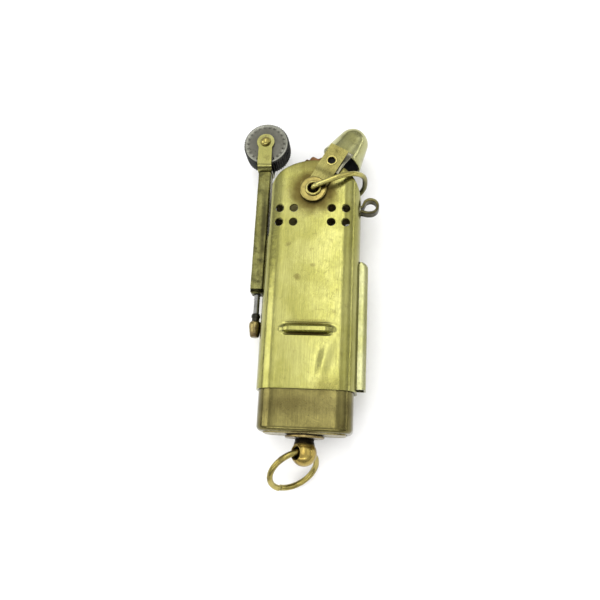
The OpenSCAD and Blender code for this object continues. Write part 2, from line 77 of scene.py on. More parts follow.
SLEEVE_LOW, SLEEVE_HIGH = span("case_sleeve")
HALF_W = SLEEVE_HIGH.x
HALF_D = -SLEEVE_LOW.z
TOP_Y = SLEEVE_HIGH.y
RIDGE_H = SLEEVE_HIGH.z - HALF_D
WALL = 0.45
POLE_MERGE = 0.0005
CUT_MERGE = 0.0004
CORNER_R = 4.0
ARCH_H = 8.3
PIVOT_Y = middle("front_washer").y
WHEEL = middle("striker_wheel")
SNUFFER_OPEN = -29
BAIL_ANGLE = 23
HEAD_R = 2.55
HEAD_Y = span("swivel_head")[0].y + HEAD_R
SWIVEL_TURN = 43
RING_TILT = 45

UPRIGHT = turn(-90, "X")  # takes a turned piece's +Z axis to +Y
AT_PIVOT = shift(0, PIVOT_Y, 0)
AT_SNUFFER = AT_PIVOT @ turn(SNUFFER_OPEN, "Z")
AT_ARM = shift(WHEEL.x, 0, 0)
AT_SWIVEL = shift(0, HEAD_Y, 0) @ turn(SWIVEL_TURN, "Y")


# ---------------------------------------------------------------- mesh tools

def make_object(name, data):
    obj = bpy.data.objects.new(name, data)
    bpy.context.scene.collection.objects.link(obj)
    return obj


def make_mesh(name, points, faces, edges=()):
    mesh = bpy.data.meshes.new(name)
    mesh.from_pydata([tuple(p) for p in points], list(edges), faces)
    mesh.update()
    return make_object(name, mesh)


def settle(obj):
    """Applies the object's whole stack, and turns a curve into a mesh."""
    graph = bpy.context.evaluated_depsgraph_get()
    mesh = bpy.data.meshes.new_from_object(obj.evaluated_get(graph), depsgraph=graph)
    name = obj.name
    slots = [slot.material for slot in obj.material_slots]
    bpy.data.objects.remove(obj)
    done = make_object(name, mesh)
    for material in slots:
        if material and not mesh.materials:
            mesh.materials.append(material)
    return done


def put_in_place(obj, place=Matrix.Identity(4)):
    """Bakes a shape drawn in millimetres at its own origin into its place, in metres."""
    obj.data.transform(PLACE @ place)
    if (PLACE @ place).determinant() < 0:
        obj.data.flip_normals()
    obj.data.update()
    return obj


def merge_close(obj, distance):
    """Merges doubles closer than the distance and turns the faces outwards."""
    work = bmesh.new()
    work.from_mesh(obj.data)
    bmesh.ops.remove_doubles(work, verts=work.verts, dist=distance)
    bmesh.ops.recalc_face_normals(work, faces=work.faces)
    work.to_mesh(obj.data)
    work.free()


def smooth(obj, sharp=35):
    obj.data.shade_smooth()
    obj.data.set_sharp_from_angle(angle=math.radians(sharp))
    return obj


def even_shading(obj, sharp):
    """Smooth shading that keeps a flat face flat up to its rounded edge."""
    smooth(obj, sharp)
    weighted = obj.modifiers.new("even shading", "WEIGHTED_NORMAL")
    weighted.keep_sharp = True


def bevelled(obj, width, segments=2, angle=35):
    """Live rounding of the edges, width in millimetres."""
    obj.data.shade_smooth()
    bevel = obj.modifiers.new("edge rounding", "BEVEL")
    bevel.width = width * MM
    bevel.segments = segments
    bevel.limit_method = "ANGLE"
    bevel.angle_limit = math.radians(angle)
    bevel.harden_normals = True
    bevel.use_clamp_overlap = True
    return obj


def thicken(obj, thickness, offset, unit=MM):
    """Sheet thickness: offset -1 puts it inside the drawn surface, 0 on both sides.

    The unit is 1 on a piece that is still drawn in millimetres.
    """
    shell = obj.modifiers.new("sheet thickness", "SOLIDIFY")
    shell.thickness = thickness * unit
    shell.offset = offset
    shell.use_quality_normals = True
    return obj


def rounded_rim(obj, width, degrees):
    """Rounding of the cut edges of a sheet that is still drawn in millimetres."""
    rim = obj.modifiers.new("rim rounding", "BEVEL")
    rim.width = width
    rim.segments = 2
    rim.angle_limit = math.radians(degrees)


def grid(rows, wrap=False):
    """Points and quads of a grid. Rows run so that row x column points outwards."""
    columns = len(rows[0])
    last = columns if wrap else columns - 1
    faces = []
    for r in range(len(rows) - 1):
        for c in range(last):
            n = (c + 1) % columns
            a, b = r * columns + c, r * columns + n
            faces.append((a, b, b + columns, a + columns))
    return [p for row in rows for p in row], faces


def surface(name, rows, wrap=False, turned_over=False):
    """Mesh of a grid; turned_over is for rows that run the other way round."""
    points, faces = grid(rows, wrap)
    return make_mesh(name, points, [face[::-1] for face in faces] if turned_over else faces)


def ease(t):
    t = min(1.0, max(0.0, t))
    return t * t * (3 - 2 * t)


def spread(low, high, count):
    return [low + (high - low) * i / count for i in range(count + 1)]


def arc(cx, cy, r, start, end, count):
    """Points round (cx, cy) from start to end, in degrees."""
    angles = spread(math.radians(start), math.radians(end), count)
    return [(cx + r * math.cos(a), cy + r * math.sin(a)) for a in angles]


def wobble(point, scale, seed=0.0):
    return noise.noise(Vector(point) * scale + Vector((seed, 2 * seed, -seed)))


def revolved(name, profile, steps=64, closed=False):
    """A profile of (radius, height) from top to bottom, swept round Z by a Screw."""
    points = [(r, 0, h) for r, h in profile]
    edges = [(i, i + 1) for i in range(len(points) - 1)]
    if closed:
        edges.append((len(points) - 1, 0))
    obj = make_mesh(name, points, [], edges)
    screw = obj.modifiers.new("turning", "SCREW")
    screw.steps = steps
    screw.render_steps = steps
    screw.use_merge_vertices = True
    screw.merge_threshold = POLE_MERGE
    screw.use_smooth_shade = True
    return settle(obj)


def turned(name, profile, place, steps=64, edge=0.08, angle=30, closed=False):
    """Turned piece in its place, with its edges rounded, or just smooth if edge is 0."""
    obj = put_in_place(revolved(name, profile, steps, closed), place)
    return bevelled(obj, edge, 2, angle) if edge else smooth(obj)


def ring_turned(name, profile, place, steps=64, edge=0.06, angle=30):
    """Turned ring: the profile is closed, so that it needs no poles."""
    return turned(name, profile, place, steps, edge, angle, True)


def sheet(obj, thickness, edge, place=Matrix.Identity(4), angle=60, offset=-1, segments=2):
    """Puts a drawn surface in its place and makes it sheet metal with rounded edges."""
    put_in_place(obj, place)
    thicken(obj, thickness, offset)
    return bevelled(obj, edge, segments, angle)


def strip(name, path, half_widths, thickness, place, edge=0.1, columns=6):
    """Bent strip of sheet along a path in the YZ plane, its width across X."""
    rows = []
    for (y, z), half in zip(path, half_widths):
        rows.append([(half * c, y, z) for c in spread(-1, 1, columns)])
    return sheet(surface(name, rows), thickness, edge, place, 50, 0)


def rounded_path(points, radius, steps=5):
    """A path whose inner corners are replaced by short curves."""
    points = [Vector(p) for p in points]
    path = [points[0]]
    for before, corner, after in zip(points, points[1:], points[2:]):
        start = corner + (before - corner).normalized() * min(radius, (before - corner).length / 2)
        end = corner + (after - corner).normalized() * min(radius, (after - corner).length / 2)
        for t in spread(0, 1, steps):
            path.append(start * (1 - t) ** 2 + corner * 2 * t * (1 - t) + end * t * t)
    return path + [points[-1]]


def wire(name, points, radius, place, sides=10, rough=0.03):
    """Round wire along a path, slightly uneven as drawn wire is, with cut ends."""
    curve = bpy.data.curves.new(name, "CURVE")
    curve.dimensions = "3D"
    curve.bevel_depth = radius
    curve.bevel_resolution = sides // 2
    curve.use_fill_caps = True
    spline = curve.splines.new("POLY")
    spline.points.add(len(points) - 1)
    for knot, point in zip(spline.points, points):
        knot.co = (*point, 1)
        knot.radius = 1 + rough * wobble(point, 0.9)
    obj = settle(make_object(name, curve))
    merge_close(obj, 0.002)
    put_in_place(obj, place)
    return bevelled(obj, 0.1, 2, 50)


def shells(name, parts):
    """One helper object out of several closed shells, each (points, faces)."""
    points, faces = [], []
    for part_points, part_faces in parts:
        start = len(points)
        points += part_points
        faces += [tuple(start + i for i in face) for face in part_faces]
    return make_mesh(name, points, faces)


def drill(place, profile, sides=28):
    """Closed turned shell for a cutter; profile (radius, height) from top to bottom."""
    rows = []
    for r, h in profile:
        rows.append([place @ Vector((r * math.cos(a), r * math.sin(a), h))
                     for a in spread(0, TAU, sides)[:-1]])
    points, faces = grid(rows[::-1], wrap=True)
    count = len(points)
    faces.append(tuple(range(sides))[::-1])
    faces.append(tuple(range(count - sides, count)))
    return points, faces


def block(low, high):
    corners = [(x, y, z) for z in (low[2], high[2]) for y in (low[1], high[1]) for x in (low[0], high[0])]
    faces = [(0, 2, 3, 1), (4, 5, 7, 6), (0, 1, 5, 4), (2, 6, 7, 3), (0, 4, 6, 2), (1, 3, 7, 5)]
    return corners, faces


def prism(outline, low, high):
    """Closed shell over an outline given anticlockwise in XY."""
    n = len(outline)
    points = [(x, y, z) for z in (low, high) for x, y in outline]
    faces = [tuple(range(n))[::-1], tuple(range(n, 2 * n))]
    faces += [(i, (i + 1) % n, n + (i + 1) % n, n + i) for i in range(n)]
    return points, faces


def cut(obj, parts):
    """Cuts closed shells out of a piece that is still at its own origin."""
    helper = shells("cutter", parts)
    boolean = obj.modifiers.new("cut", "BOOLEAN")
    boolean.operation = "DIFFERENCE"
    boolean.solver = "EXACT"
    boolean.use_self = True
    boolean.object = helper
    done = settle(obj)
    bpy.data.objects.remove(helper)
    merge_close(done, CUT_MERGE)
    return done


def paint_faces(obj, material, test):
    """Gives a second material to the faces whose middle and normal pass the test."""
    obj.data.materials.append(material)
    inverse = PLACE.inverted()
    for face in obj.data.polygons:
        if test(inverse @ face.center, face.normal):
            face.material_index = len(obj.data.materials) - 1


def finish_piece(obj, body, slot, material, *nodes):
    """Material, body and the CAD nodes that the piece stands for; the slot is not used."""
    if obj.data.materials:
        obj.data.materials[0] = material
    else:
        obj.data.materials.append(material)
    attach(obj, body)
    if nodes:
        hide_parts(*nodes)


# ---------------------------------------------------------------- material tools

def rgb(red, green, blue):
    """Linear colour from a 0 to 255 one."""
    return tuple((v / 255 / 12.92) if v <= 10 else (((v / 255) + 0.055) / 1.055) ** 2.4
                 for v in (red, green, blue)) + (1.0,)


class Recipe:
    """A node tree that reads home-frame millimetres and ends in one Principled shader."""

    def __init__(self, name, turn_z=0.0):
        self.material = bpy.data.materials.new(name)
        self.material.use_nodes = True
        self.tree = self.material.node_tree
        self.shader = self.tree.nodes["Principled BSDF"]
        source = self.tree.nodes.new("ShaderNodeTexCoord").outputs["Object"]
        self.home = self.mapped(source, (1 / MM,) * 3, tuple(-HOME / MM))
        if turn_z:
            self.home = self.mapped(self.home, (1, 1, 1), (0, 0, 0), math.radians(turn_z))

    def link(self, value, socket):
        if isinstance(value, bpy.types.NodeSocket):
            self.tree.links.new(value, socket)
        else:
            socket.default_value = value

    def mapped(self, vector, scale, shift_by=(0, 0, 0), angle=0.0):
        node = self.tree.nodes.new("ShaderNodeMapping")
        self.link(vector, node.inputs["Vector"])
        node.inputs["Scale"].default_value = scale
        node.inputs["Location"].default_value = shift_by
        node.inputs["Rotation"].default_value = (0, 0, angle)
        return node.outputs["Vector"]

    def noise(self, scale, detail=3.0, roughness=0.55, stretch=(1, 1, 1), seed=0.0, angle=0.0):
        node = self.tree.nodes.new("ShaderNodeTexNoise")
        coords = self.home
        if angle:
            coords = self.mapped(coords, (1, 1, 1), (0, 0, 0), angle)
        self.link(self.mapped(coords, stretch, (seed, 1.7 * seed, -seed)), node.inputs["Vector"])
        node.inputs["Scale"].default_value = scale
        node.inputs["Detail"].default_value = detail
        node.inputs["Roughness"].default_value = roughness
        return node.outputs["Fac"]

    def window(self, value, low, high, out_low=0.0, out_high=1.0):
        """Value run smoothly from out_low below low to out_high above high."""
        node = self.tree.nodes.new("ShaderNodeMapRange")
        node.interpolation_type = "SMOOTHSTEP"
        self.link(value, node.inputs["Value"])
        ends = (low, high, out_low, out_high)
        for name, number in zip(("From Min", "From Max", "To Min", "To Max"), ends):
            node.inputs[name].default_value = number
        return node.outputs["Result"]

    def maths(self, operation, first, second=0.0, clamp=False):
        node = self.tree.nodes.new("ShaderNodeMath")
        node.operation = operation
        node.use_clamp = clamp
        self.link(first, node.inputs[0])
        self.link(second, node.inputs[1])
        return node.outputs[0]

    def mix(self, amount, first, second, blend="MIX"):
        node = self.tree.nodes.new("ShaderNodeMix")
        node.data_type = "RGBA"
        node.blend_type = blend
        self.link(amount, node.inputs["Factor"])
        self.link(first, node.inputs[6])
        self.link(second, node.inputs[7])
        return node.outputs[2]

    def near(self, centre, stretch, low, high, ragged=0.0):
        """1 close to a point of the home frame, fading out between low and high mm."""
        offset = tuple(-c * s for c, s in zip(centre, stretch))
        node = self.tree.nodes.new("ShaderNodeVectorMath")
        node.operation = "LENGTH"
        self.link(self.mapped(self.home, stretch, offset), node.inputs[0])
        value = node.outputs["Value"]
        if ragged:
            value = self.maths("MULTIPLY_ADD", self.noise(0.55, 4, 0.6, seed=5.0), ragged)
            value.node.inputs[2].default_value = -ragged / 2
            value = self.maths("ADD", value, node.outputs["Value"])
        return self.window(value, low, high, 1.0, 0.0)

    def hairlines(self, scale, angle, stretch, width, seed, density=0.5):
        """Thin straight scratches along one direction."""
        field = self.noise(scale, 1.0, 0.4, (1, stretch, 1), seed, angle)
        distance = self.maths("ABSOLUTE", self.maths("SUBTRACT", field, 0.5))
        line = self.window(distance, 0.0, width, 1.0, 0.0)
        patch = self.window(self.noise(0.35, 2, 0.5, seed=seed + 11), density, density + 0.12)
        return self.maths("MULTIPLY", line, patch)

    def occlusion_shade(self, distance):
        """Painted shade from ambient occlusion: 1 deep in a corner, 0 in the open, looking distance mm
        around.
        """
        node = self.tree.nodes.new("ShaderNodeAmbientOcclusion")
        node.samples = 6
        node.inputs["Distance"].default_value = distance * MM
        return self.window(node.outputs["AO"], 0.35, 0.85, 1.0, 0.0)

    def bump(self, height, strength, distance, normal=None):
        node = self.tree.nodes.new("ShaderNodeBump")
        node.inputs["Strength"].default_value = strength
        node.inputs["Distance"].default_value = distance * MM
        self.link(height, node.inputs["Height"])
        if normal:
            self.link(normal, node.inputs["Normal"])
        return node.outputs["Normal"]

    def done(self, colour, roughness, normal=None, metallic=1.0):
        self.link(colour, self.shader.inputs["Base Color"])
        self.link(roughness, self.shader.inputs["Roughness"])
        self.shader.inputs["Metallic"].default_value = metallic
        if normal:
            self.link(normal, self.shader.inputs["Normal"])
        return self.material


METAL_TONE = 0.42  # how much of the studio's light an old metal face gives back
OXIDE_METALLIC = 0.92  # a little less than metal, for the oxide on it
STREAK_STRETCH = (5.0, 0.22, 5.0)  # brushed streaks run along the sleeve


def aged_metal(name, light, mid, dark, patina=0.5, streaks=0.5, pits=0.3, scratches=0.4,
               rough=(0.3, 0.5), ao_shade_strength=0.8, stains_and_shade=(), turn_z=0.0, seed=0.0, hatch=0.0,
               relief_depth=0.035, ao_shade_reach=1.6):
    """Old sheet metal: cloudy tone, brushed streaks, patina, pits, scratches, and painted shade in its
    corners and creases.

    The three tones are clean, usual and tarnished metal, and rough is its roughness where
    clean and where tarnished. turn_z lines the streaks up with a piece that rests turned.
    """
    r = Recipe(name, turn_z)
    light, mid, dark = (tuple(METAL_TONE * c for c in rgb(*tone)[:3]) + (1.0,)
                        for tone in (light, mid, dark))
    cloud = r.window(r.noise(0.16, 5, 0.6, seed=seed), 0.34, 0.66)
    colour = r.mix(cloud, mid, light)
    brushed = r.noise(1.0, 4, 0.65, STREAK_STRETCH, seed + 2)
    tone = r.window(brushed, 0.3, 0.7, 1 - 0.2 * streaks, 1 + 0.1 * streaks)
    shade = r.tree.nodes.new("ShaderNodeCombineColor")
    for channel in ("Red", "Green", "Blue"):
        r.link(tone, shade.inputs[channel])
    colour = r.mix(1.0, colour, shade.outputs["Color"], "MULTIPLY")
    blotch = r.noise(0.42, 7, 0.68, seed=seed + 7)
    tarnish_and_shade = r.window(blotch, 0.62 - 0.22 * patina, 0.78 - 0.1 * patina)
    tarnish_and_shade = r.maths("MULTIPLY", tarnish_and_shade, min(1.0, 0.25 + patina))
    # Stains darken towards the tarnished tone; some of them are bands of painted shade along the sleeve's
    # ridge.
    for centre, reach, low, high, ragged, amount in stains_and_shade:
        near = r.maths("MULTIPLY", r.near(centre, reach, low, high, ragged), amount)
        tarnish_and_shade = r.maths("MAXIMUM", tarnish_and_shade, near)
    colour = r.mix(tarnish_and_shade, colour, dark)
    specks = r.window(r.noise(2.6, 3, 0.6, seed=seed + 3), 0.66, 0.72)
    specks = r.maths("MULTIPLY", specks, pits)
    deep = tuple(0.35 * c for c in dark[:3]) + (1.0,)
    colour = r.mix(specks, colour, deep)
    fine = r.hairlines(1.3, math.radians(24), 0.1, 0.006, seed + 21)
    long_lines = r.hairlines(0.7, math.radians(-68), 0.07, 0.005, seed + 31, 0.48)
    lines = r.maths("MAXIMUM", fine, long_lines)
    if hatch:
        ticks = r.hairlines(2.0, math.radians(38), 0.06, 0.03, seed + 41, 0.5)
        zone = r.near((2.5, 23, HALF_D), (0.75, 0.55, 0.6), 3.0, 5.5, 1.5)
        ticks = r.maths("MULTIPLY", r.maths("MULTIPLY", ticks, zone), hatch)
        lines = r.maths("MAXIMUM", lines, ticks)
    bright = tuple(min(1.0, 1.25 * c) for c in light[:3]) + (1.0,)
    colour = r.mix(r.maths("MULTIPLY", lines, 0.55 * scratches), colour, bright)
    # Painted shade: the colour darkens to the deep tone where ambient occlusion finds a corner or crease.
    if ao_shade_strength:
        ao_shade = r.maths("MULTIPLY", r.occlusion_shade(ao_shade_reach), ao_shade_strength)
        colour = r.mix(ao_shade, colour, deep)
    base = r.window(tarnish_and_shade, 0.0, 1.0, rough[0], rough[1])
    variation = r.window(r.noise(1.2, 3, 0.6, seed=seed + 9), 0.3, 0.7, -0.05, 0.07)
    roughness = r.maths("ADD", base, variation, clamp=True)
    relief = r.maths("SUBTRACT", brushed, r.maths("MULTIPLY", lines, 0.6))
    relief = r.maths("SUBTRACT", relief, r.maths("MULTIPLY", specks, 1.5))
    normal = r.bump(relief, 0.35, relief_depth)
    normal = r.bump(r.noise(0.5, 2, 0.5, seed=seed + 13), 0.35, 3.4 * relief_depth, normal)
    return r.done(colour, roughness, normal, OXIDE_METALLIC)


def soot_and_bore_shade(name, dark, light):
    """Soot baked on brass, also used as painted shade down the rivet bores."""
    r = Recipe(name)
    field = r.noise(0.9, 6, 0.7)
    colour = r.mix(r.window(field, 0.5, 0.75), dark, light)
    return r.done(colour, 0.85, r.bump(field, 0.5, 0.06), 0.1)


def cotton(name, pale, dark, char_from=None):
    """Cotton: fibres along Y, and charred above a height if one is given."""
    r = Recipe(name)
    fibres = r.noise(3.0, 4, 0.7, (1, 0.18, 1))
    colour = r.mix(r.window(fibres, 0.35, 0.65), dark, pale)
    if char_from:
        node = r.tree.nodes.new("ShaderNodeSeparateXYZ")
        r.link(r.home, node.inputs[0])
        edge = r.maths("ADD", node.outputs["Y"], r.noise(0.8, 3))
        colour = r.mix(r.window(edge, char_from, char_from + 1.5), colour, rgb(18, 15, 12))
    return r.done(colour, 0.95, r.bump(fibres, 0.8, 0.12), 0.0)


def leather(name, base, worn):
    """Oiled leather, pale where its grain stands up."""
    r = Recipe(name)
    grain = r.noise(3.2, 5, 0.6)
    colour = r.mix(r.window(grain, 0.45, 0.62), base, worn)
    return r.done(colour, 0.6, r.bump(grain, 0.6, 0.08), 0.0)


# A stain, or a band of painted shade, is its centre, how fast each axis fades, full inside and gone outside
# in millimetres, how ragged its edge is, and its strength.

BROWN_HALO = ((0, PIVOT_Y, 0), (1, 1, 0), 3.0, 7.0, 2.6, 0.95)
TOP_TARNISH = ((2.0, TOP_Y - 0.5, 0), (0.55, 1.0, 0), 1.2, 6.0, 3.5, 0.62)
RED_SPOT_LEFT = ((-2.6, 22.6, HALF_D), (1, 1, 0.3), 0.25, 0.95, 1.4, 0.55)
RED_SPOT_MID = ((0.6, 25.2, HALF_D), (1, 1.4, 0.3), 0.2, 0.9, 1.4, 0.4)
# The next three are painted shade, not stains: a dark band above the ridge, one under its lower lip and one
# in its upper fold.
RIDGE_SHADE = ((0, 13.2, HALF_D), (0.2, 1.3, 0.2), 0.4, 1.3, 0.8, 0.4)
FOLD_SHADE_BELOW = ((0, 10.88, HALF_D), (0.18, 3.0, 0.15), 0.55, 0.95, 0.15, 0.95)
FOLD_SHADE_ABOVE = ((0, 12.95, HALF_D), (0.18, 3.6, 0.15), 0.5, 0.9, 0.2, 0.75)
TUBE_STREAK = ((WHEEL.x + 0.5, 36, HALF_D), (1.1, 0.08, 0), 0.2, 1.1, 1.0, 0.8)
WHEEL_RIM = ((WHEEL.x, WHEEL.y, 0), (1, 1, 0), 3.7, 4.7, 0.7, 0.8)
BAIL_BACK = ((10.5, 46, -4), (0.5, 0.3, 0.35), 1.6, 3.6, 1.0, 0.7)
TANK_MIDDLE = ((0, -3.2, HALF_D), (0.16, 1, 0), 0.8, 3.0, 1.6, 0.35)
HEAD_NECK = ((0, HEAD_Y + 2.6, 0), (0.4, 1.2, 0.4), 1.0, 2.0, 0.6, 1.0)
LOWER_EDGE = ((4.5, 0.6, HALF_D), (0.5, 1, 0.3), 0.6, 2.6, 1.6, 0.35)

METALS = {
    # Name, the clean, usual and tarnished tone, then patina, streaks, pits and scratches,
    # roughness clean and tarnished, painted corner shade, stains and bands of painted shade if any, and what
    # else is its own.
    "sleeve": (
        "sleeve brass", (222, 219, 132), (203, 200, 108), (122, 104, 48), 0.22, 0.55, 0.28, 0.55,
        (0.18, 0.42), 0.8, (BROWN_HALO, TOP_TARNISH, RED_SPOT_LEFT, RED_SPOT_MID, RIDGE_SHADE,
                            FOLD_SHADE_BELOW, FOLD_SHADE_ABOVE, LOWER_EDGE),
        dict(hatch=1.0, seed=1.0, ao_shade_reach=0.8)),
    "rail": (
        "rail brass", (226, 226, 168), (206, 206, 136), (140, 116, 66), 0.25, 0.35, 0.1, 0.3,
        (0.2, 0.4), 0.9, dict(seed=3.0, relief_depth=0.01)),
    "eye": (
        "eye brass", (170, 160, 96), (98, 93, 64), (52, 48, 34), 0.85, 0.3, 0.3, 0.5,
        (0.32, 0.5), 0.8, dict(seed=4.0)),
    "eyelet": (
        "eyelet brass", (240, 228, 140), (216, 200, 108), (132, 104, 48), 0.25, 0.2, 0.12, 0.4,
        (0.12, 0.3), 0.95, dict(seed=5.0, relief_depth=0.008)),
    "washer": (
        "washer brass", (220, 204, 118), (182, 162, 90), (108, 86, 44), 0.5, 0.2, 0.2, 0.5,
        (0.14, 0.34), 0.95, dict(seed=5.5, relief_depth=0.015)),
    "tube": (
        "tube brass", (180, 178, 108), (142, 137, 74), (80, 76, 46), 0.7, 1.0, 0.6, 0.7,
        (0.28, 0.5), 0.85, (TUBE_STREAK,), dict(seed=6.0)),
    "fork": (
        "fork brass", (224, 220, 144), (198, 194, 112), (110, 98, 48), 0.35, 0.5, 0.15, 0.5,
        (0.14, 0.34), 0.9, dict(seed=7.0)),
    "wheel": (
        "wheel steel", (206, 206, 192), (182, 182, 166), (128, 126, 113), 0.4, 0.2, 1.0, 0.6,
        (0.3, 0.5), 0.9, (WHEEL_RIM,), dict(seed=8.0)),
    "knurl": (
        "knurl steel", (96, 98, 92), (58, 60, 56), (26, 26, 24), 0.4, 0.2, 0.3, 0.4,
        (0.4, 0.6), 0.8, dict(seed=9.0)),
    "rod": (
        "rod steel", (200, 202, 198), (150, 150, 146), (70, 68, 66), 0.55, 1.0, 0.3, 0.5,
        (0.24, 0.46), 0.8, dict(seed=10.0)),
    "collar": (
        "collar steel", (84, 82, 70), (48, 48, 40), (22, 22, 18), 0.5, 0.3, 0.4, 0.5,
        (0.35, 0.55), 0.8, dict(seed=11.0)),
    "knob": (
        "knob brass", (206, 188, 118), (140, 118, 80), (76, 58, 44), 0.65, 0.8, 0.3, 0.5,
        (0.24, 0.44), 0.8, dict(seed=12.0)),
    "snuffer": (
        "snuffer brass", (188, 180, 106), (160, 150, 82), (98, 86, 46), 0.5, 0.4, 0.85, 0.6,
        (0.24, 0.46), 0.8, dict(turn_z=-SNUFFER_OPEN, seed=13.0)),
    "tongue": (
        "tongue metal", (210, 208, 184), (176, 170, 138), (92, 84, 62), 0.4, 0.4, 0.5, 0.5,
        (0.26, 0.48), 0.8, dict(turn_z=-SNUFFER_OPEN, seed=14.0)),
    "cap": (
        "cap brass", (255, 255, 190), (228, 226, 148), (158, 150, 96), 0.4, 0.5, 0.35, 1.0,
        (0.14, 0.36), 0.7, dict(turn_z=-SNUFFER_OPEN, seed=15.0)),
    "bail": (
        "bail brass", (255, 250, 160), (242, 228, 126), (104, 106, 70), 0.35, 0.3, 0.2, 0.4,
        (0.22, 0.42), 0.6, (BAIL_BACK,), dict(seed=16.0)),
    "tank": (
        "tank brass", (172, 162, 96), (138, 128, 72), (84, 72, 40), 0.42, 0.7, 1.0, 0.6,
        (0.16, 0.38), 0.6, (TANK_MIDDLE,), dict(seed=17.0)),
    "plate": (
        "plate brass", (216, 202, 140), (180, 164, 106), (100, 80, 46), 0.5, 0.4, 0.4, 0.5,
        (0.26, 0.48), 0.85, dict(seed=18.0)),
    "burner": (
        "burner brass", (178, 128, 84), (140, 96, 62), (62, 42, 30), 0.6, 0.3, 0.7, 0.3,
        (0.42, 0.65), 0.7, dict(seed=19.0)),
    "filler": (
        "filler brass", (208, 184, 120), (164, 142, 88), (88, 68, 42), 0.5, 0.3, 0.4, 0.5,
        (0.25, 0.46), 0.85, dict(seed=20.0)),
    "head": (
        "head brass", (244, 216, 118), (204, 172, 84), (44, 36, 22), 0.4, 0.3, 0.35, 0.4,
        (0.18, 0.44), 0.95, (HEAD_NECK,), dict(seed=21.0)),
    "ring": (
        "ring brass", (250, 232, 138), (206, 188, 102), (104, 92, 62), 0.5, 0.2, 0.3, 0.5,
        (0.2, 0.42), 0.7, dict(seed=22.0)),
    "leaf": (
        "spring steel", (190, 190, 186), (150, 150, 146), (92, 88, 82), 0.3, 0.6, 0.2, 0.4,
        (0.25, 0.45), 0.6, dict(seed=23.0)),
    "flint": (
        "flint alloy", (96, 92, 88), (72, 70, 68), (40, 38, 36), 0.5, 0.1, 0.7, 0.1,
        (0.55, 0.75), 0.6, dict(seed=24.0)),
    "inside": (
        "tarnished inside", (150, 142, 92), (120, 110, 70), (50, 42, 28), 0.7, 0.4, 0.3, 0.1,
        (0.45, 0.65), 0.9, dict(seed=25.0)),
}

M = {key: aged_metal(*row, **own) for key, (*row, own) in METALS.items()}
M.update({
    "soot_and_shade": soot_and_bore_shade("lamp soot", rgb(8, 8, 8), rgb(30, 26, 20)),
    "wick": cotton("wick cotton", rgb(120, 104, 82), rgb(66, 54, 42), TOP_Y - 1),
    "packing": cotton("packing cotton", rgb(232, 228, 216), rgb(196, 190, 176)),
    "leather": leather("gasket leather", rgb(34, 26, 20), rgb(72, 58, 44)),
})

# ---------------------------------------------------------------- sleeve

VENT_X = (3.985, 7.1)
VENT_Y = (34.81, 37.96)
VENT_R = 0.8
EYELET_R = 1.5
RIDGE_Y = 11.75
RIDGE_HALF = 5.8
GRID_STEP = 0.4
EYE_SLOT = (39, 40.3, 1.1)  # lower end, upper end and half width of a slot in the right wall
SPRING_WINDOW = (2.65, 24.3, 1.3)


def rounded_outline(half_w, half_d, r, step=GRID_STEP, corner_steps=9):
    """Anticlockwise points (x, z) of a rounded rectangle, from the middle of its left side."""
    points = []
    corners = [(-1, -1, 180), (1, -1, 270), (1, 1, 0), (-1, 1, 90)]
    for sx, sz, start in corners:
        points += arc(sx * (half_w - r), sz * (half_d - r), r, start, start + 90, corner_steps)
    outline = []
    for here, after in zip(points, points[1:] + points[:1]):
        length = math.dist(here, after)
        pieces = max(1, round(length / step)) if length > 1.5 else 1
        for t in spread(0, 1, pieces)[:-1]:
            outline.append((here[0] + (after[0] - here[0]) * t, here[1] + (after[1] - here[1]) * t))
    return outline


def ridge_height(x, y):
    """Pressed thumb ridge: a slow upper side, a round crest, a sharp fold below, slim ends."""
    d = y - RIDGE_Y
    slim = 1 - 0.25 * ease((abs(x) - RIDGE_HALF + 2.2) / 2.2)
    crest = ease((1.2 * slim - d) / 0.8) * ease((d + 0.72 * slim) / 0.34)
    crest *= ease((RIDGE_HALF - abs(x)) / 2.0)
    fold_above = -0.14 * ease(1 - abs(d - 1.3) / 0.35)
    fold_below = -0.32 * ease(1 - abs(d + 0.9) / 0.34)
    return RIDGE_H * crest + (fold_above + fold_below) * ease((RIDGE_HALF - 1.0 - abs(x)) / 0.6)


def face_relief(x, y):
    """Soft dents and the crown of a hand-pressed face."""
    crown = 0.15 * math.cos(math.pi / 2 * min(1.0, abs(x) / 6.5)) * (1 - y / 90)
    dent = -0.22 * math.exp(-(((x - 3.6 - 0.22 * (y - 6)) / 1.1) ** 2 + ((y - 5.5) / 3.4) ** 2))
    swell = 0.03 * wobble((x, y, 0), 0.22, 3)
    return crown + dent + swell - 0.12


def top_edge(x):
    """Height of the arched upper edge."""
    return TOP_Y - ARCH_H + ARCH_H * math.sqrt(max(0.0, 1 - (x / HALF_W) ** 2))


def sleeve_rows():
    """Rings of the sleeve's outer surface, straight at first and then up to the arch."""
    outline = rounded_outline(HALF_W, HALF_D, CORNER_R)
    straight = 31.0
    heights = spread(0, 10.4, 13) + spread(10.5, 13.6, 31) + spread(14, straight, 17)
    rows = []
    for y in heights + spread(0, 1, 22)[1:]:
        row = []
        for x, z in outline:
            at_y = y
            if len(rows) >= len(heights):
                at_y = straight + (top_edge(x) - straight) * y
            out = z
            if abs(x) < HALF_W - CORNER_R + 1.2 and abs(z) > HALF_D - 0.6:
                fade = ease((HALF_W - CORNER_R + 1.2 - abs(x)) / 1.6)
                side = 1 if z > 0 else -1
                out = z + side * fade * face_relief(x * side, at_y)
                if side > 0:
                    out += ridge_height(x, at_y)
            row.append((x, at_y, out))
        rows.append(row)
    return rows


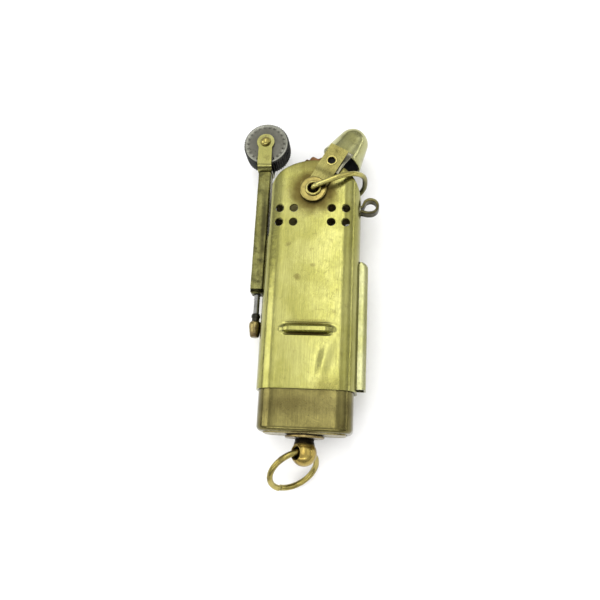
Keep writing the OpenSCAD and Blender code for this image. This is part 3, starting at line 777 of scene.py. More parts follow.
def vent_cutters():
    """Punched vents of both faces, each with the soft rim that the punch leaves."""
    parts = []
    for x in (s * v for s in (-1, 1) for v in VENT_X):
        past_corner = max(0.0, abs(x) - (HALF_W - CORNER_R))
        skin = HALF_D - CORNER_R + math.sqrt(CORNER_R ** 2 - past_corner ** 2)
        for y in VENT_Y:
            for face in (0, 180):
                countersink = [(VENT_R + 0.5, skin + 0.3), (VENT_R + 0.2, skin),
                               (VENT_R + 0.06, skin - 0.16), (VENT_R, skin - 0.3), (VENT_R, skin - 1.6)]
                across = x if face == 0 else -x
                parts.append(drill(shift(0, y, 0) @ turn(face, "Y") @ shift(across, 0, 0), countersink))
    return parts


def sleeve():
    """Windscreen sleeve, cut open for the vents, the pivot, the sparks and the rail's parts."""
    obj = surface("windscreen_sleeve", sleeve_rows(), wrap=True, turned_over=True)
    thicken(obj, WALL, -1, 1.0)
    rounded_rim(obj, 0.12, 60)
    obj = settle(obj)
    spark_opening = [(-9.1, TOP_Y + 1), (-11, TOP_Y + 1), (-11, 31.5), (-9.8, 31.5), (-9.1, 33)]
    clear = HALF_D + 2
    parts = vent_cutters()
    parts.append(drill(AT_PIVOT, [(EYELET_R, clear), (EYELET_R, -clear)]))
    parts.append(prism(spark_opening, -clear, clear))
    for low_y, high_y, half in (EYE_SLOT, SPRING_WINDOW):
        parts.append(block((HALF_W - 1, low_y, -half), (HALF_W + 1, high_y, half)))
    obj = put_in_place(cut(obj, parts))
    even_shading(obj, 38)
    finish_piece(obj, "case", "sleeve_brass", M["sleeve"], "case_sleeve")

    def inside(point, normal):
        within = abs(point.x) < HALF_W - 0.7 * WALL and abs(point.z) < HALF_D - 0.6 * WALL
        return within and normal.x * point.x + normal.z * point.z < 0 and abs(normal.y) < 0.3

    paint_faces(obj, M["inside"], inside)


def side_rail():
    """Folded channel on the right wall, curved in to the wall at its upper end."""
    low, high = span("side_rail")
    out, half, corner, edge = high.x - HALF_W, high.z, 1.4, 0.65
    rows = []
    stations = [(y, out) for y in spread(low.y, high.y - corner, 20)]
    stations += [(high.y - corner + corner * math.sin(a), out - corner + corner * math.cos(a))
                 for a in spread(0, math.pi / 2, 7)[1:]]
    stations.append((high.y, 0.02))
    for y, reach in stations:
        r = min(edge, reach * 0.6)
        dent = 0.035 * wobble((1, y, 0), 0.3, 8)
        row = [(HALF_W, y, -half), (HALF_W + (reach - r) / 2, y, -half)]
        row += [(HALF_W + a, y, b) for a, b in arc(reach - r, -half + r, r, -90, 0, 5)]
        row += [(HALF_W + reach + min(dent, 0), y, b) for b in spread(-half + r, half - r, 4)[1:-1]]
        row += [(HALF_W + a, y, b) for a, b in arc(reach - r, half - r, r, 0, 90, 5)]
        row += [(HALF_W + (reach - r) / 2, y, half), (HALF_W, y, half)]
        rows.append(row)
    obj = sheet(surface("tank_side_rail", rows, turned_over=True), 0.35, 0.07)
    finish_piece(obj, "case", "sleeve_brass", M["rail"], "side_rail")


def chain_eye():
    """Strip curled into a teardrop, both ends tucked into the sleeve's wall."""
    high = span("chain_eye")[1]
    thick, reach_r, half = 0.6, 1.85, 1.1
    cx, cy = high.x - reach_r, high.y - reach_r
    r = reach_r - thick / 2
    loop = [(HALF_W - WALL, 39.35), (HALF_W + 0.5, 39.15), (cx - 0.6, cy - r - 0.02)]
    loop += arc(cx, cy, r, -90, 140, 22)
    loop += [(HALF_W + 0.35, 40.3), (HALF_W - WALL, 39.95)]
    knots = [Vector((x, y, 0)) for x, y in loop]
    path = rounded_path(knots[:3], 0.5, 4) + knots[3:]
    rows = [[(p.x, p.y, half * c) for c in spread(-1, 1, 5)] for p in path]
    obj = sheet(surface("chain_eye_strip", rows), thick, 0.14, angle=50, offset=0, segments=3)
    finish_piece(obj, "case", "eye_brass", M["eye"], "chain_eye")


# ---------------------------------------------------------------- pivot

def front_and_back(build):
    """Builds a piece for the front face and its mirror for the back."""
    build("front", Matrix.Identity(4))
    build("back", turn(180, "Y"))


def eyelet(side, flip):
    """Eyelet that leg and bail turn on, its outer lip rolled back."""
    low, high = span("front_eyelet")
    top = high.z
    lip = 0.3
    bore = 1.1
    profile = [(bore, top - lip)]
    profile += [(bore + lip + lip * math.cos(a), top - lip + lip * math.sin(a))
                for a in spread(math.pi, -0.5, 12)]
    profile += [(EYELET_R, top - lip - 0.3), (EYELET_R, low.z + WALL), (2.2, low.z + WALL), (2.2, low.z),
                (bore, low.z)]
    obj = ring_turned(side + "_pivot_eyelet", profile, flip @ AT_PIVOT, 56, 0.05, 35)
    finish_piece(obj, "case", "eyelet_brass", M["eyelet"], side + "_eyelet")


def washer(side, flip):
    """Dished washer under the eyelet's lip."""
    low, high = span("front_washer")
    outer = high.x
    profile = [(EYELET_R, high.z), (1.95, high.z + 0.02), (outer - 0.45, high.z)]
    profile += arc(outer - 0.2, (low.z + high.z) / 2, (high.z - low.z) / 2, 75, -75, 6)
    profile += [(outer - 0.45, low.z), (EYELET_R, low.z)]
    obj = ring_turned(side + "_pivot_washer", profile, flip @ AT_PIVOT, 64, 0.05, 30)
    finish_piece(obj, "case", "eyelet_brass", M["washer"], side + "_washer")


# ---------------------------------------------------------------- striker

def flint_tube():
    """Rectangular tube, pinched in a little here and there."""
    low, high = span("flint_tube")
    half_x, half_z = (high.x - low.x) / 2, high.z
    rows = []
    for y in spread(low.y, high.y, 44):
        ring = rounded_outline(half_x, half_z, 0.42, 0.45, 5)
        pinch = 0.05 * wobble((0, y, 0), 0.25, 4)
        rows.append([(x + min(0, pinch) * (x / half_x), y, z + 0.6 * min(0, pinch) * (z / half_z))
                     for x, z in ring])
    obj = sheet(surface("flint_tube_shell", rows, True, True), 0.3, 0.06, AT_ARM)
    finish_piece(obj, "case", "tube_brass", M["tube"], "flint_tube")


def tube_cap():
    """Closed lower end of the flint tube, with a bead round it."""
    low, high = span("tube_end_cap")
    half_x, half_z = (high.x - low.x) / 2, high.z
    rows = []
    stations = [(high.y, 0.32), (low.y + 0.92, 0.32), (low.y + 0.9, 0.0), (low.y + 0.5, 0.0)]
    stations += [(low.y + 0.45 - 0.45 * math.sin(a), 0.5 * (1 - math.cos(a)) + 0.02)
                 for a in spread(0, math.pi / 2, 5)]
    for y, inset in stations:
        ring = rounded_outline(half_x - inset, half_z - inset, 0.45, 0.45, 5)
        rows.append([(x, y, z) for x, z in ring])
    ring = rounded_outline(half_x - 0.5, half_z - 0.5, 0.45, 0.45, 5)
    for scale in (0.8, 0.55):
        rows.append([(x * scale, low.y, z * scale) for x, z in ring])
    obj = sheet(surface("tube_lower_end", rows, True), 0.2, 0.05, AT_ARM, 50)
    finish_piece(obj, "case", "tube_brass", M["tube"], "tube_end_cap")


def wheel_fork():
    """One strip bent round the top of the tube, with a round ear on each side."""
    low, high = span("wheel_fork")
    head_r = (high.x - low.x) / 2
    strip_half = 1.55
    thick = 0.6
    ear_z = high.z - thick / 2
    base_y = low.y + thick / 2
    head = [(WHEEL.y + head_r * math.sin(a), ear_z) for a in spread(math.pi / 2 - 0.06, -0.95, 16)]
    bend = rounded_path([(head[-1][0], ear_z, 0), (base_y + 1.15, ear_z, 0), (base_y, ear_z - 0.95, 0),
                         (base_y, 0, 0)], 0.75, 6)
    side = head + [(p.x, p.y) for p in bend[1:]]
    path = side + [(y, -z) for y, z in side[-2::-1]]

    def half_width(y):
        d = y - WHEEL.y
        if d > 0:
            return math.sqrt(max(0.02, head_r ** 2 - d * d))
        if d > -1.25:
            return max(strip_half - 0.05, math.sqrt(head_r ** 2 - d * d))
        return strip_half - 0.05 * ease(1 - (-1.25 - d) / 2)

    widths = [half_width(y) for y, z in path]
    obj = strip("wheel_fork_strip", path, widths, thick, AT_ARM, 0.13, 10)
    finish_piece(obj, "case", "fork_brass", M["fork"], "wheel_fork")


def wheel_axle():
    """Rivet with a domed head on each ear, turned in one piece."""
    high = span("wheel_axle")[1]
    head_r = 1.12
    face = span("wheel_fork")[1].z
    dome = high.z - face
    profile = [(0, high.z)]
    profile += [(head_r * math.sin(a), face + 0.12 + (dome - 0.12) * math.cos(a))
                for a in spread(0.2, math.pi / 2, 8)]
    profile += [(head_r, face), (0.9, face)]
    profile += [(r, -h) for r, h in profile[::-1]]
    obj = turned("wheel_axle_riveted", profile, shift(WHEEL.x, WHEEL.y, 0), 48, 0.05, 40)
    finish_piece(obj, "case", "eyelet_brass", M["eyelet"], "wheel_axle")


TEETH = 56
TOOTH_DEPTH = 0.26
CROSS_PITCH = 0.56
CROSS_DEPTH = 0.1
PUNCH_COUNT = 22
PUNCH_RING = 4.05
PUNCH_R = 0.34
PUNCH_DEPTH = 0.22


def striker_wheel():
    """Knurled wheel with a light chamfer, a shallow face and a ring of punched dimples."""
    low, high = span("striker_wheel")
    r_out, half = (high.x - low.x) / 2, high.z
    columns = TEETH * 4
    tread = half - 0.36
    rim_r = r_out - 0.32
    stations = [(0.95, -half), (1.9, -half), (2.0, -half + 0.05), (3.6, -half + 0.05)]
    stations += [(r, -half + 0.05) for r in spread(3.69, 4.41, 8)]
    stations += [(4.5, -half), (rim_r - 0.12, -half), (rim_r, -half + 0.1)]
    inner = [(rim_r, -tread)]
    grooves = [(None, z) for z in spread(-tread + 0.02, tread - 0.02, 24)]
    rows = []
    for r, z in stations + inner + grooves + [(r, -z) for r, z in (stations + inner)[::-1]]:
        row = []
        for i in range(columns):
            a = TAU * i / columns
            rr, zz = r, z
            if r is None:
                tooth = 0.5 + 0.5 * math.cos(TEETH * a)
                cross = 0.5 + 0.5 * math.cos(TAU * (z + tread) / CROSS_PITCH)
                rr = r_out - TOOTH_DEPTH * (1 - tooth) - CROSS_DEPTH * (1 - cross)
            elif abs(r - PUNCH_RING) < PUNCH_R + 0.02:
                pitch = TAU / PUNCH_COUNT
                off = (a + pitch / 2) % pitch - pitch / 2
                away = math.hypot(PUNCH_RING * off, r - PUNCH_RING)
                zz -= math.copysign(PUNCH_DEPTH * ease(1 - away / PUNCH_R), z)
            row.append((rr * math.cos(a), rr * math.sin(a), zz))
        rows.append(row)
    rows.append(rows[0])
    obj = surface("striker_wheel_knurled", rows, True)
    merge_close(obj, 0.001)
    put_in_place(obj, shift(WHEEL.x, WHEEL.y, 0))
    smooth(obj, 50)
    finish_piece(obj, "wheel", "wheel_steel", M["wheel"], "striker_wheel")

    def on_tread(point, _):
        reach = math.hypot(point.x - WHEEL.x, point.y - WHEEL.y)
        return abs(point.z) < tread + 0.01 and reach > rim_r - 0.2

    paint_faces(obj, M["knurl"], on_tread)


def plunger():
    """Drawn rod with a head inside the tube, a stepped collar and a barrel-shaped knob."""
    low, high = span("plunger_rod")
    r = 0.6
    head_low = high.y - 0.8
    profile = [(0, high.y), (1.0, high.y), (1.0, head_low), (r, head_low)]
    profile += [(r * (1 + 0.03 * wobble((0, y, 0), 1.1)), y) for y in spread(head_low - 0.2, low.y, 26)]
    profile.append((0, low.y))
    obj = turned("plunger_rod_drawn", profile, AT_ARM @ UPRIGHT, 32, 0.04, 40)
    finish_piece(obj, "plunger", "rod_steel", M["rod"], "plunger_rod")
    low, high = span("plunger_collar")
    half = (high.x - low.x) / 2
    profile = [(0.62, high.y), (0.78, high.y - 0.05), (half, low.y + 1.25), (half, low.y + 0.9),
               (half - 0.16, low.y + 0.72), (half - 0.16, low.y), (0.62, low.y)]
    obj = ring_turned("plunger_collar_stepped", profile, AT_ARM @ UPRIGHT, 40, 0.05, 30)
    finish_piece(obj, "plunger", "collar_steel", M["collar"], "plunger_collar")
    low, high = span("plunger_knob")
    half = (high.x - low.x) / 2
    profile = [(0, high.y - 0.12), (0.62, high.y - 0.12), (0.75, high.y), (half - 0.32, high.y),
               (half - 0.06, high.y - 0.3), (half, high.y - 0.7), (half, high.y - 1.15),
               (half - 0.1, high.y - 1.7), (0.98, low.y + 0.35), (0.8, low.y + 0.04), (0, low.y)]
    obj = turned("plunger_knob_barrel", profile, AT_ARM @ UPRIGHT, 48, 0.09, 12)
    finish_piece(obj, "plunger", "knob_brass", M["knob"], "plunger_knob")


# ---------------------------------------------------------------- snuffer

LEG_W = 4.25
LEG_T = 0.42
LEG_END = 11.05
LEG_STEP = 0.37
LEG_CLEAR = 0.05
RIVET_Y = 7.51
RIVET_R = 0.95
CAP_MOUTH = 11.2
CAP_MOUTH_R = 4.65
CAP_DENTS = ((0.5, 17.3, 2.7), (1.9, 15.2, 3.0), (-1.2, 13.4, 3.7))


def mirrored(flip):
    """The back copy of a piece that leans to one side is a mirror image, not a turned one."""
    return Matrix.Identity(4) if flip == Matrix.Identity(4) else Matrix.Scale(-1, 4, (0, 0, 1))


def pierced_sheet(obj, thickness, rim, holes, flip):
    """Bent sheet beside the face, drilled at (radius, height) after its rim is rounded."""
    thicken(obj, thickness, 0, 1.0)
    rounded_rim(obj, rim, 50)
    drills = [drill(shift(0, y, 0), [(r, HALF_D + 2), (r, HALF_D - 1)], 40) for r, y in holes]
    obj = put_in_place(cut(settle(obj), drills), mirrored(flip) @ AT_SNUFFER)
    return smooth(obj, 40)


def snuffer_leg(side, flip):
    """Flat leg with a round foot round the pivot, stepped out over the cap's tongue."""
    half = LEG_W / 2
    low = HALF_D + LEG_CLEAR + LEG_T / 2
    step, step_from, step_to = LEG_STEP, 4.25, 5.05
    foot = [(-half * math.cos(a), low) for a in spread(0.14, math.pi / 2, 9)]
    rest = rounded_path([(0, low, 0), (step_from, low, 0), (step_to, low + step, 0),
                         (LEG_END, low + step, 0)], 0.5, 4)
    path = foot + [(p.x, p.y) for p in rest[1:]]
    widths = [math.sqrt(max(0.0, half ** 2 - y * y)) if y < 0 else half for y, z in path]
    rows = [[(w * c, y, z) for c in spread(-1, 1, 12)] for (y, z), w in zip(path, widths)]
    holes = [(EYELET_R + 0.05, 0), (RIVET_R, RIVET_Y)]
    obj = pierced_sheet(surface(side + "_snuffer_leg", rows), LEG_T, 0.09, holes, flip)
    finish_piece(obj, "snuffer", "snuffer_brass", M["snuffer"], "snuffer_leg_" + side)


def cap_tongue(side, flip):
    """Sheet tongue of the cap, riveted under the leg and bent in to the cap's mouth."""
    thick = 0.35
    low = HALF_D + LEG_CLEAR + thick / 2
    mouth = CAP_MOUTH_R - 0.25
    bend = rounded_path([(5.55, low, 0), (8.4, low, 0), (10.95, mouth, 0), (11.7, mouth, 0)], 0.7, 5)
    path = [(p.x, p.y) for p in bend]
    rows = [[(0.35 + 2.4 * c, y, z) for c in spread(-1, 1, 10)] for y, z in path]
    obj = pierced_sheet(surface(side + "_cap_tongue", rows), thick, 0.07, [(RIVET_R, RIVET_Y)], flip)
    finish_piece(obj, "snuffer", "cap_brass", M["tongue"])


def snuffer_cap():
    """Domed cap with a slightly flared mouth, dented outside and sooty inside."""
    r, top_c, wall, mouth_r = 3.5, 15.9, 0.5, CAP_MOUTH_R
    outer = [(0, top_c + r)] + arc(0, top_c, r, 84, 8, 16)
    outer += [(mouth_r - 0.1, CAP_MOUTH + 0.5), (mouth_r, CAP_MOUTH + 0.12), (mouth_r - 0.08, CAP_MOUTH)]
    inner = [(mouth_r - wall, CAP_MOUTH), (mouth_r - wall - 0.1, CAP_MOUTH + 0.5)]
    inner += arc(0, top_c, r - wall, 8, 84, 16) + [(0, top_c + r - wall)]
    obj = turned("snuffer_dome", outer + inner, AT_SNUFFER @ UPRIGHT, 72, 0.0)
    dents = [AT_SNUFFER @ Vector(dent) for dent in CAP_DENTS]
    for vertex in obj.data.vertices:
        point = PLACE.inverted() @ vertex.co
        push = 0.05 * wobble(point, 0.45, 6)
        push -= sum(0.16 * math.exp(-((point - dent).length / 0.75) ** 2) for dent in dents)
        vertex.co += vertex.normal * MM * push
    smooth(obj, 50)
    finish_piece(obj, "snuffer", "cap_brass", M["cap"], "snuffer_cap")
    axis_from = AT_SNUFFER @ Vector((0, CAP_MOUTH, 0))
    axis_to = AT_SNUFFER @ Vector((0, top_c, 0))
    axis = (axis_to - axis_from).normalized()

    def inside(point, normal):
        along = (point - axis_from).dot(axis)
        core = axis_from + axis * min(along, top_c - CAP_MOUTH)
        return along > 0.05 and normal.dot(point - core) < 0

    paint_faces(obj, M["soot_and_shade"], inside)


def snuffer_rivet(side, flip):
    """Tubular rivet through leg and tongue, open in the middle, with a disc of painted shade down its bore.
    """
    base = HALF_D + LEG_CLEAR
    top = base + LEG_STEP + LEG_T
    bore, flange = 0.78, 1.2
    profile = [(bore, top + 0.02)]
    profile += [(bore + 0.2 - 0.2 * math.cos(a), top + 0.14 * math.sin(a)) for a in spread(0.3, 1.4, 4)]
    profile += [(flange - 0.1, top + 0.13), (flange, top + 0.03), (flange - 0.02, top), (RIVET_R, top),
                (RIVET_R, base), (bore, base)]
    place = mirrored(flip) @ AT_SNUFFER @ shift(0, RIVET_Y, 0)
    obj = ring_turned(side + "_tubular_rivet", profile, place, 48, 0.03, 40)
    nodes = ("snuffer_rivets",) if side == "front" else ()
    finish_piece(obj, "snuffer", "eyelet_brass", M["eyelet"], *nodes)
    # Painted shade: a black disc down in the bore, where the open hole is dark.
    shade = drill(Matrix.Identity(4), [(bore, base + 0.12), (bore, base + 0.02)], 32)
    bore_shade_disc = smooth(put_in_place(make_mesh(side + "_rivet_bore_shade", *shade), place))
    finish_piece(bore_shade_disc, "snuffer", "cap_brass", M["soot_and_shade"])


# ---------------------------------------------------------------- bail

def bail():
    """Round wire bent to a square-set bow, each end hooked through an eyelet."""
    high = span("bail_wire")[1]
    wire_r = 0.55
    half = high.z - wire_r
    reach, corner, hook, hook_low = 11.65, 6.6, 0.9, 4.1
    side = [(0, y) for y in spread(hook_low, half - hook, 3)[:-1]]
    side += [(hook + x, half - hook + y) for x, y in arc(0, 0, hook, 180, 90, 7)]
    side += [(x, half) for x in spread(hook, reach - corner, 6)[1:-1]]
    side += [(reach - corner + x, half - corner + y) for x, y in arc(0, 0, corner, 90, 0, 16)]
    path = side + [(x, -y) for x, y in side[::-1]]
    place = AT_PIVOT @ turn(BAIL_ANGLE, "Z")
    points = [place @ Vector((x, 0, y)) for x, y in path]
    obj = wire("bail_wire_bent", points, wire_r, Matrix.Identity(4), 12, 0.04)
    finish_piece(obj, "bail", "bail_brass", M["bail"], "bail_wire")


# ---------------------------------------------------------------- tank

TANK_R = 3.48
TANK_EDGE = 1.0


def tank_shell():
    """Drawn shell of the tank, slightly dented, its lower edge rolled in."""
    low, high = span("tank_shell")
    half_w, half_d = high.x, high.z
    stations = [(y, 0.0) for y in spread(high.y, low.y + TANK_EDGE, 34)]
    stations += [(low.y + TANK_EDGE - TANK_EDGE * math.sin(a), TANK_EDGE * (1 - math.cos(a)))
                 for a in spread(0, math.pi / 2, 8)[1:]]
    stations.append((low.y + 0.02, TANK_EDGE + 0.22))
    rows = []
    for y, inset in stations:
        row = []
        for x, z in rounded_outline(half_w - inset, half_d - inset, TANK_R - inset * 0.98, 0.7, 8):
            dent = min(0.0, 0.07 * wobble((x, y, z), 0.28, 9)) if y < 0 else 0.0
            row.append((x * (1 + dent / half_w), y, z * (1 + dent / half_d)))
        rows.append(row)
    obj = sheet(surface("fuel_tank_shell", rows, True), 0.4, 0.06)
    finish_piece(obj, "tank", "tank_brass", M["tank"], "tank_shell")


def tank_bottom():
    """Bottom plate with a raised rim, open round the filler."""
    low, high = span("tank_bottom")
    gap = 0.25
    half_w, half_d = high.x - gap, high.z - gap
    rows = []
    stations = [(high.y, 0.0), (low.y + 0.18, 0.0), (low.y + 0.05, 0.05), (low.y, 0.18), (low.y, 0.5),
                (low.y + 0.05, 0.62), (low.y + 0.05, 1.2)]
    for y, inset in stations:
        ring = rounded_outline(half_w - inset, half_d - inset, max(0.5, TANK_R - 1.3 - inset), 0.7, 8)
        rows.append([(x, y, z) for x, z in ring])
    bore = 1.95
    ring = rows[-1]
    for share in (0.5, 1.0):
        row = []
        for x, y, z in ring:
            a = math.atan2(z, x)
            row.append((x + (bore * math.cos(a) - x) * share, y, z + (bore * math.sin(a) - z) * share))
        rows.append(row)
    obj = sheet(surface("tank_bottom_plate", rows, True), 0.3, 0.04, angle=50)
    finish_piece(obj, "tank", "tank_brass", M["plate"], "tank_bottom")


def burner():
    """Burner tube with a ragged, heat-browned crown, and its collar on the tank's top."""
    low, high = span("burner_tube")
    r, wall, teeth, rise = 3.1, 0.35, 9, 0.45
    columns = 108
    rows = []
    for share in spread(1, 0, 26):
        row = []
        for i in range(columns):
            a = TAU * i / columns
            bite = abs(((a * teeth / TAU) % 1) - 0.5) * 2
            ragged = 0.5 + wobble((math.cos(a), math.sin(a), 0), 2.6, 2)
            crown = high.y + rise - 0.6 * bite ** 1.5 - 0.3 * ragged
            y = low.y + (crown - low.y) * share
            lean = 0.16 * ease((y - high.y + 1.6) / 1.6) * wobble((math.cos(a), math.sin(a), 1), 2.0, 5)
            row.append(((r + lean - 0.05) * math.cos(a), y, (r + lean - 0.05) * math.sin(a)))
        rows.append(row)
    obj = sheet(surface("burner_tube_crowned", rows, True), wall, 0.05)
    finish_piece(obj, "tank", "burner_brass", M["burner"], "burner_tube")
    base = span("tank_shell")[1].y
    profile = [(r, base + 0.8), (r + 0.4, base + 0.8), (r + 0.5, base + 0.55), (r + 0.5, base), (r, base)]
    collar = ring_turned("burner_collar", profile, UPRIGHT, 56, 0.06)
    finish_piece(collar, "tank", "burner_brass", M["burner"])


def wick():
    """Frayed cotton rope, its upper end burnt to a low crown."""
    low, high = span("wick")
    r = (high.x - low.x) / 2
    columns = 48
    angles = [TAU * i / columns for i in range(columns)]
    rows = []
    for y in spread(high.y - 0.35, low.y, 30):
        row = []
        for a in angles:
            fray = 0.08 * wobble((3 * math.cos(a), y, 3 * math.sin(a)), 1.4)
            row.append(((r + fray - 0.06) * math.cos(a), y, (r - 0.05) * math.sin(a)))
        rows.append(row)
    for share in (0.8, 0.6, 0.4, 0.2, 0.02):
        row = []
        for a in angles:
            x, z = r * share * math.cos(a), r * share * math.sin(a)
            row.append((x, high.y - 0.22 + 0.28 * wobble((x, 0, z), 2.1, 7), z))
        rows.insert(0, row)
    points, faces = grid(rows, wrap=True)
    start = len(points)
    faces.append(tuple(range(columns))[::-1])
    faces.append(tuple(range(start - columns, start)))
    obj = put_in_place(make_mesh("cotton_wick", points, faces))
    smooth(obj, 70)
    finish_piece(obj, "tank", "wick_cotton", M["wick"], "wick")


# ---------------------------------------------------------------- filler, swivel and ring

def filler():
    """Gasket and filler screw. The gasket is a hair thinner than the room it has."""
    low, high = span("filler_gasket")
    r, bore, slack = (high.x - low.x) / 2, 1.97, 0.012
    top, bottom = high.y - slack, low.y + slack
    profile = [(bore, top), (r - 0.05, top), (r + 0.02, (low.y + high.y) / 2), (r - 0.05, bottom),
               (bore, bottom)]
    obj = ring_turned("filler_gasket_washer", profile, UPRIGHT, 56, 0.03)
    finish_piece(obj, "gasket", "gasket_leather", M["leather"], "filler_gasket")
    low, high = span("filler_screw")
    flange_r = (high.x - low.x) / 2
    flange_t, stem, bore, pitch = 0.5, 1.9, 0.9, 0.75
    profile = [(bore, high.y), (stem - 0.25, high.y)]
    y = high.y - 0.2
    while y > low.y + flange_t + 0.8:
        profile += [(stem - 0.3, y), (stem, y - 0.3), (stem, y - 0.42), (stem - 0.3, y - pitch + 0.04)]
        y -= pitch
    flange_top = low.y + flange_t
    profile += [(stem, flange_top + 0.35), (stem, flange_top), (flange_r - 0.08, flange_top),
                (flange_r, flange_top - 0.1), (flange_r, low.y + 0.12), (flange_r - 0.14, low.y),
                (2.6, low.y), (2.5, low.y + 0.06), (bore, low.y + 0.06)]
    obj = ring_turned("filler_screw_turned", profile, UPRIGHT, 72, 0.05, 30)
    finish_piece(obj, "filler", "filler_brass", M["filler"], "filler_screw")


def swivel_head():
    """Turned ball and neck, filed flat on two sides and drilled for the ring."""
    tip = span("swivel_head")[1].y - HEAD_Y
    top = span("filler_screw")[0].y - HEAD_Y - 0.05
    flat, hole, stem, rivet_r, neck = 2.05, 1.15, 0.85, 1.35, 1.9
    profile = [(0, tip), (rivet_r - 0.1, tip), (rivet_r, tip - 0.1), (rivet_r, tip - 0.4), (stem, tip - 0.4),
               (stem, top), (neck - 0.05, top), (neck, top - 0.12), (neck, top - 0.55), (1.98, top - 0.75)]
    profile += arc(0, 0, HEAD_R, 33, -84, 18) + [(0, -HEAD_R)]
    obj = revolved("swivel_head_turned", profile)
    obj.data.transform(UPRIGHT)
    parts = [block((flat, -5, -5), (6, top - 0.9, 5)), block((-6, -5, -5), (-flat, top - 0.9, 5))]
    mouth = [(hole + 0.45, 3), (hole + 0.3, flat + 0.02), (hole + 0.06, flat - 0.22), (hole, flat - 0.5)]
    mouth += [(r, -h) for r, h in mouth[::-1]]
    parts.append(drill(turn(90, "Y"), mouth, 40))
    obj = put_in_place(cut(obj, parts), AT_SWIVEL)
    even_shading(obj, 32)
    finish_piece(obj, "swivel", "head_brass", M["head"], "swivel_head")


def split_ring():
    """Round wire bent to a ring whose cut ends stand slightly out of line."""
    ring_r, offset, wire_r = 5.0, 4.55, 0.6
    gap_at, gap = 263, 6.0
    place = AT_SWIVEL @ turn(RING_TILT, "X") @ shift(0, -offset, 0)
    points = []
    for t in spread(0, 1, 110):
        a = math.radians(gap_at + gap / 2 + (360 - gap) * t)
        lift = 0.22 * (t - 0.5) * abs(2 * t - 1) ** 3
        points.append(place @ Vector((ring_r * math.cos(a), ring_r * math.sin(a), lift)))
    obj = wire("split_ring_wire", points, wire_r, Matrix.Identity(4), 14, 0.03)
    finish_piece(obj, "ring", "ring_brass", M["ring"], "split_ring")


# ---------------------------------------------------------------- inner pieces that keep their CAD mesh

KEPT = {
    "retaining_spring": "leaf",
    "flint": "flint",
    "flint_spring": "leaf",
    "tank_top": "plate",
    "filler_bush": "filler",
    "cotton_packing": "packing",
}


def paint_kept_nodes():
    for node, name in KEPT.items():
        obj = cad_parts[node]
        if not obj.material_slots:
            obj.data.materials.append(M[name])
        for slot in obj.material_slots:
            slot.material = M[name]


# ---------------------------------------------------------------- stage, lights and camera

def floor():
    """Plain pale paper under the object."""
    size = 1.5
    points = [(-size, -size, 0), (size, -size, 0), (size, size, 0), (-size, size, 0)]
    obj = make_mesh("studio_floor", points, [(0, 1, 2, 3)])
    r = Recipe("floor paper")
    grain = r.noise(0.5, 3)
    colour = r.mix(r.window(grain, 0.3, 0.7), (0.965, 0.96, 0.965, 1), (0.98, 0.98, 0.98, 1))
    obj.data.materials.append(r.done(colour, 0.9, None, 0.0))


def softbox(name, position, target, width, length, radiance):
    """Area light of an even radiance, facing a point, its length along the sleeve."""
    light = bpy.data.lights.new(name, "AREA")
    light.shape = "RECTANGLE"
    light.size = width
    light.size_y = length
    light.energy = radiance * math.pi * width * length
    obj = make_object(name, light)
    back = (Vector(position) - Vector(target)).normalized()
    across = Vector((0, 1, 0)).cross(back).normalized()
    along = back.cross(across)
    obj.matrix_world = Matrix.Translation(position) @ Matrix((across, along, back)).transposed().to_4x4()


SOFTBOXES = (  # name, position, aim, width, length and radiance
    ("overhead softbox", (-0.07, 0.18, 0.62), (0, 0, 0), 0.30, 0.7, 0.9),
    ("overhead strip", (0.035, 0.18, 0.62), (0, 0, 0), 0.075, 0.7, 2.5),
    ("overhead half strip", (-0.025, 0.18, 0.62), (0, 0, 0), 0.045, 0.7, 1.3),
    ("right softbox", (0.40, 0.12, 0.42), (0, 0, 0), 0.22, 0.6, 0.5),
    ("left softbox", (-0.26, 0.0, 0.17), (0, -0.02, 0), 0.22, 0.20, 2.4),
    ("right low strip", (0.52, 0.12, 0.10), (0, 0, 0), 0.05, 0.6, 3.0),
    ("front strip", (-0.05, -0.42, 0.34), (0, 0, 0), 0.6, 0.08, 4.0),
)
HORIZON_TONE = (0.36, 0.36, 0.37, 1)
ZENITH_TONE = (1.15, 1.15, 1.14, 1)
ZENITH_FROM = 0.85


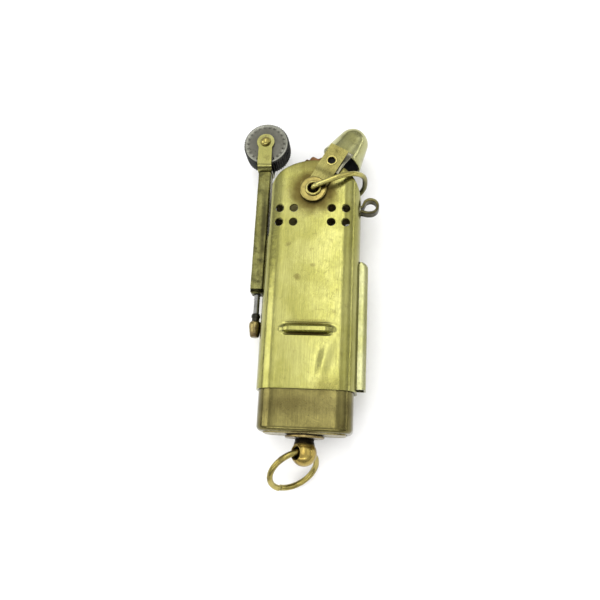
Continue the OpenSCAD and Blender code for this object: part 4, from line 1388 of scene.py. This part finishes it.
def lights():
    """Softboxes round the object, and a room that brightens from the horizon upwards."""
    for box in SOFTBOXES:
        softbox(*box)
    world = bpy.data.worlds.new("studio")
    bpy.context.scene.world = world
    world.use_nodes = True
    nodes, links = world.node_tree.nodes, world.node_tree.links
    background = nodes["Background"]
    coords = nodes.new("ShaderNodeTexCoord")
    split = nodes.new("ShaderNodeSeparateXYZ")
    ramp = nodes.new("ShaderNodeValToRGB")
    links.new(coords.outputs["Generated"], split.inputs[0])
    links.new(split.outputs["Z"], ramp.inputs["Fac"])
    links.new(ramp.outputs["Color"], background.inputs["Color"])
    ramp.color_ramp.elements[0].position = 0.0
    ramp.color_ramp.elements[0].color = HORIZON_TONE
    ramp.color_ramp.elements[1].position = ZENITH_FROM
    ramp.color_ramp.elements[1].color = ZENITH_TONE
    background.inputs["Strength"].default_value = 1.0
    bpy.context.scene.view_settings.view_transform = "Standard"


LENS = 37.72
SENSOR_WIDTH = 36.0
CAMERA_AT = Vector((12.057, -17.440, 125.977))  # in the home frame
CAMERA_FORWARD = Vector((-0.10876, 0.27873, -0.95419))
CAMERA_UP = Vector((-0.01928, 0.95911, 0.28237))


def camera():
    """Hand-held view from above the lower right, with no depth of field."""
    data = bpy.data.cameras.new("camera")
    data.lens = LENS
    data.sensor_width = SENSOR_WIDTH
    data.clip_start = 0.005
    obj = make_object("camera", data)
    forward = CAMERA_FORWARD.normalized()
    right = forward.cross(CAMERA_UP.normalized()).normalized()
    up = right.cross(forward)
    rotation = Matrix((right, up, -forward)).transposed()
    obj.matrix_world = Matrix.Translation(PLACE @ CAMERA_AT) @ rotation.to_4x4()
    bpy.context.scene.camera = obj


camera()
sleeve()
side_rail()
chain_eye()
front_and_back(eyelet)
front_and_back(washer)
flint_tube()
tube_cap()
wheel_fork()
wheel_axle()
striker_wheel()
plunger()
front_and_back(snuffer_leg)
front_and_back(cap_tongue)
snuffer_cap()
front_and_back(snuffer_rivet)
bail()
tank_shell()
tank_bottom()
burner()
wick()
filler()
swivel_head()
split_ring()
paint_kept_nodes()
floor()
lights()
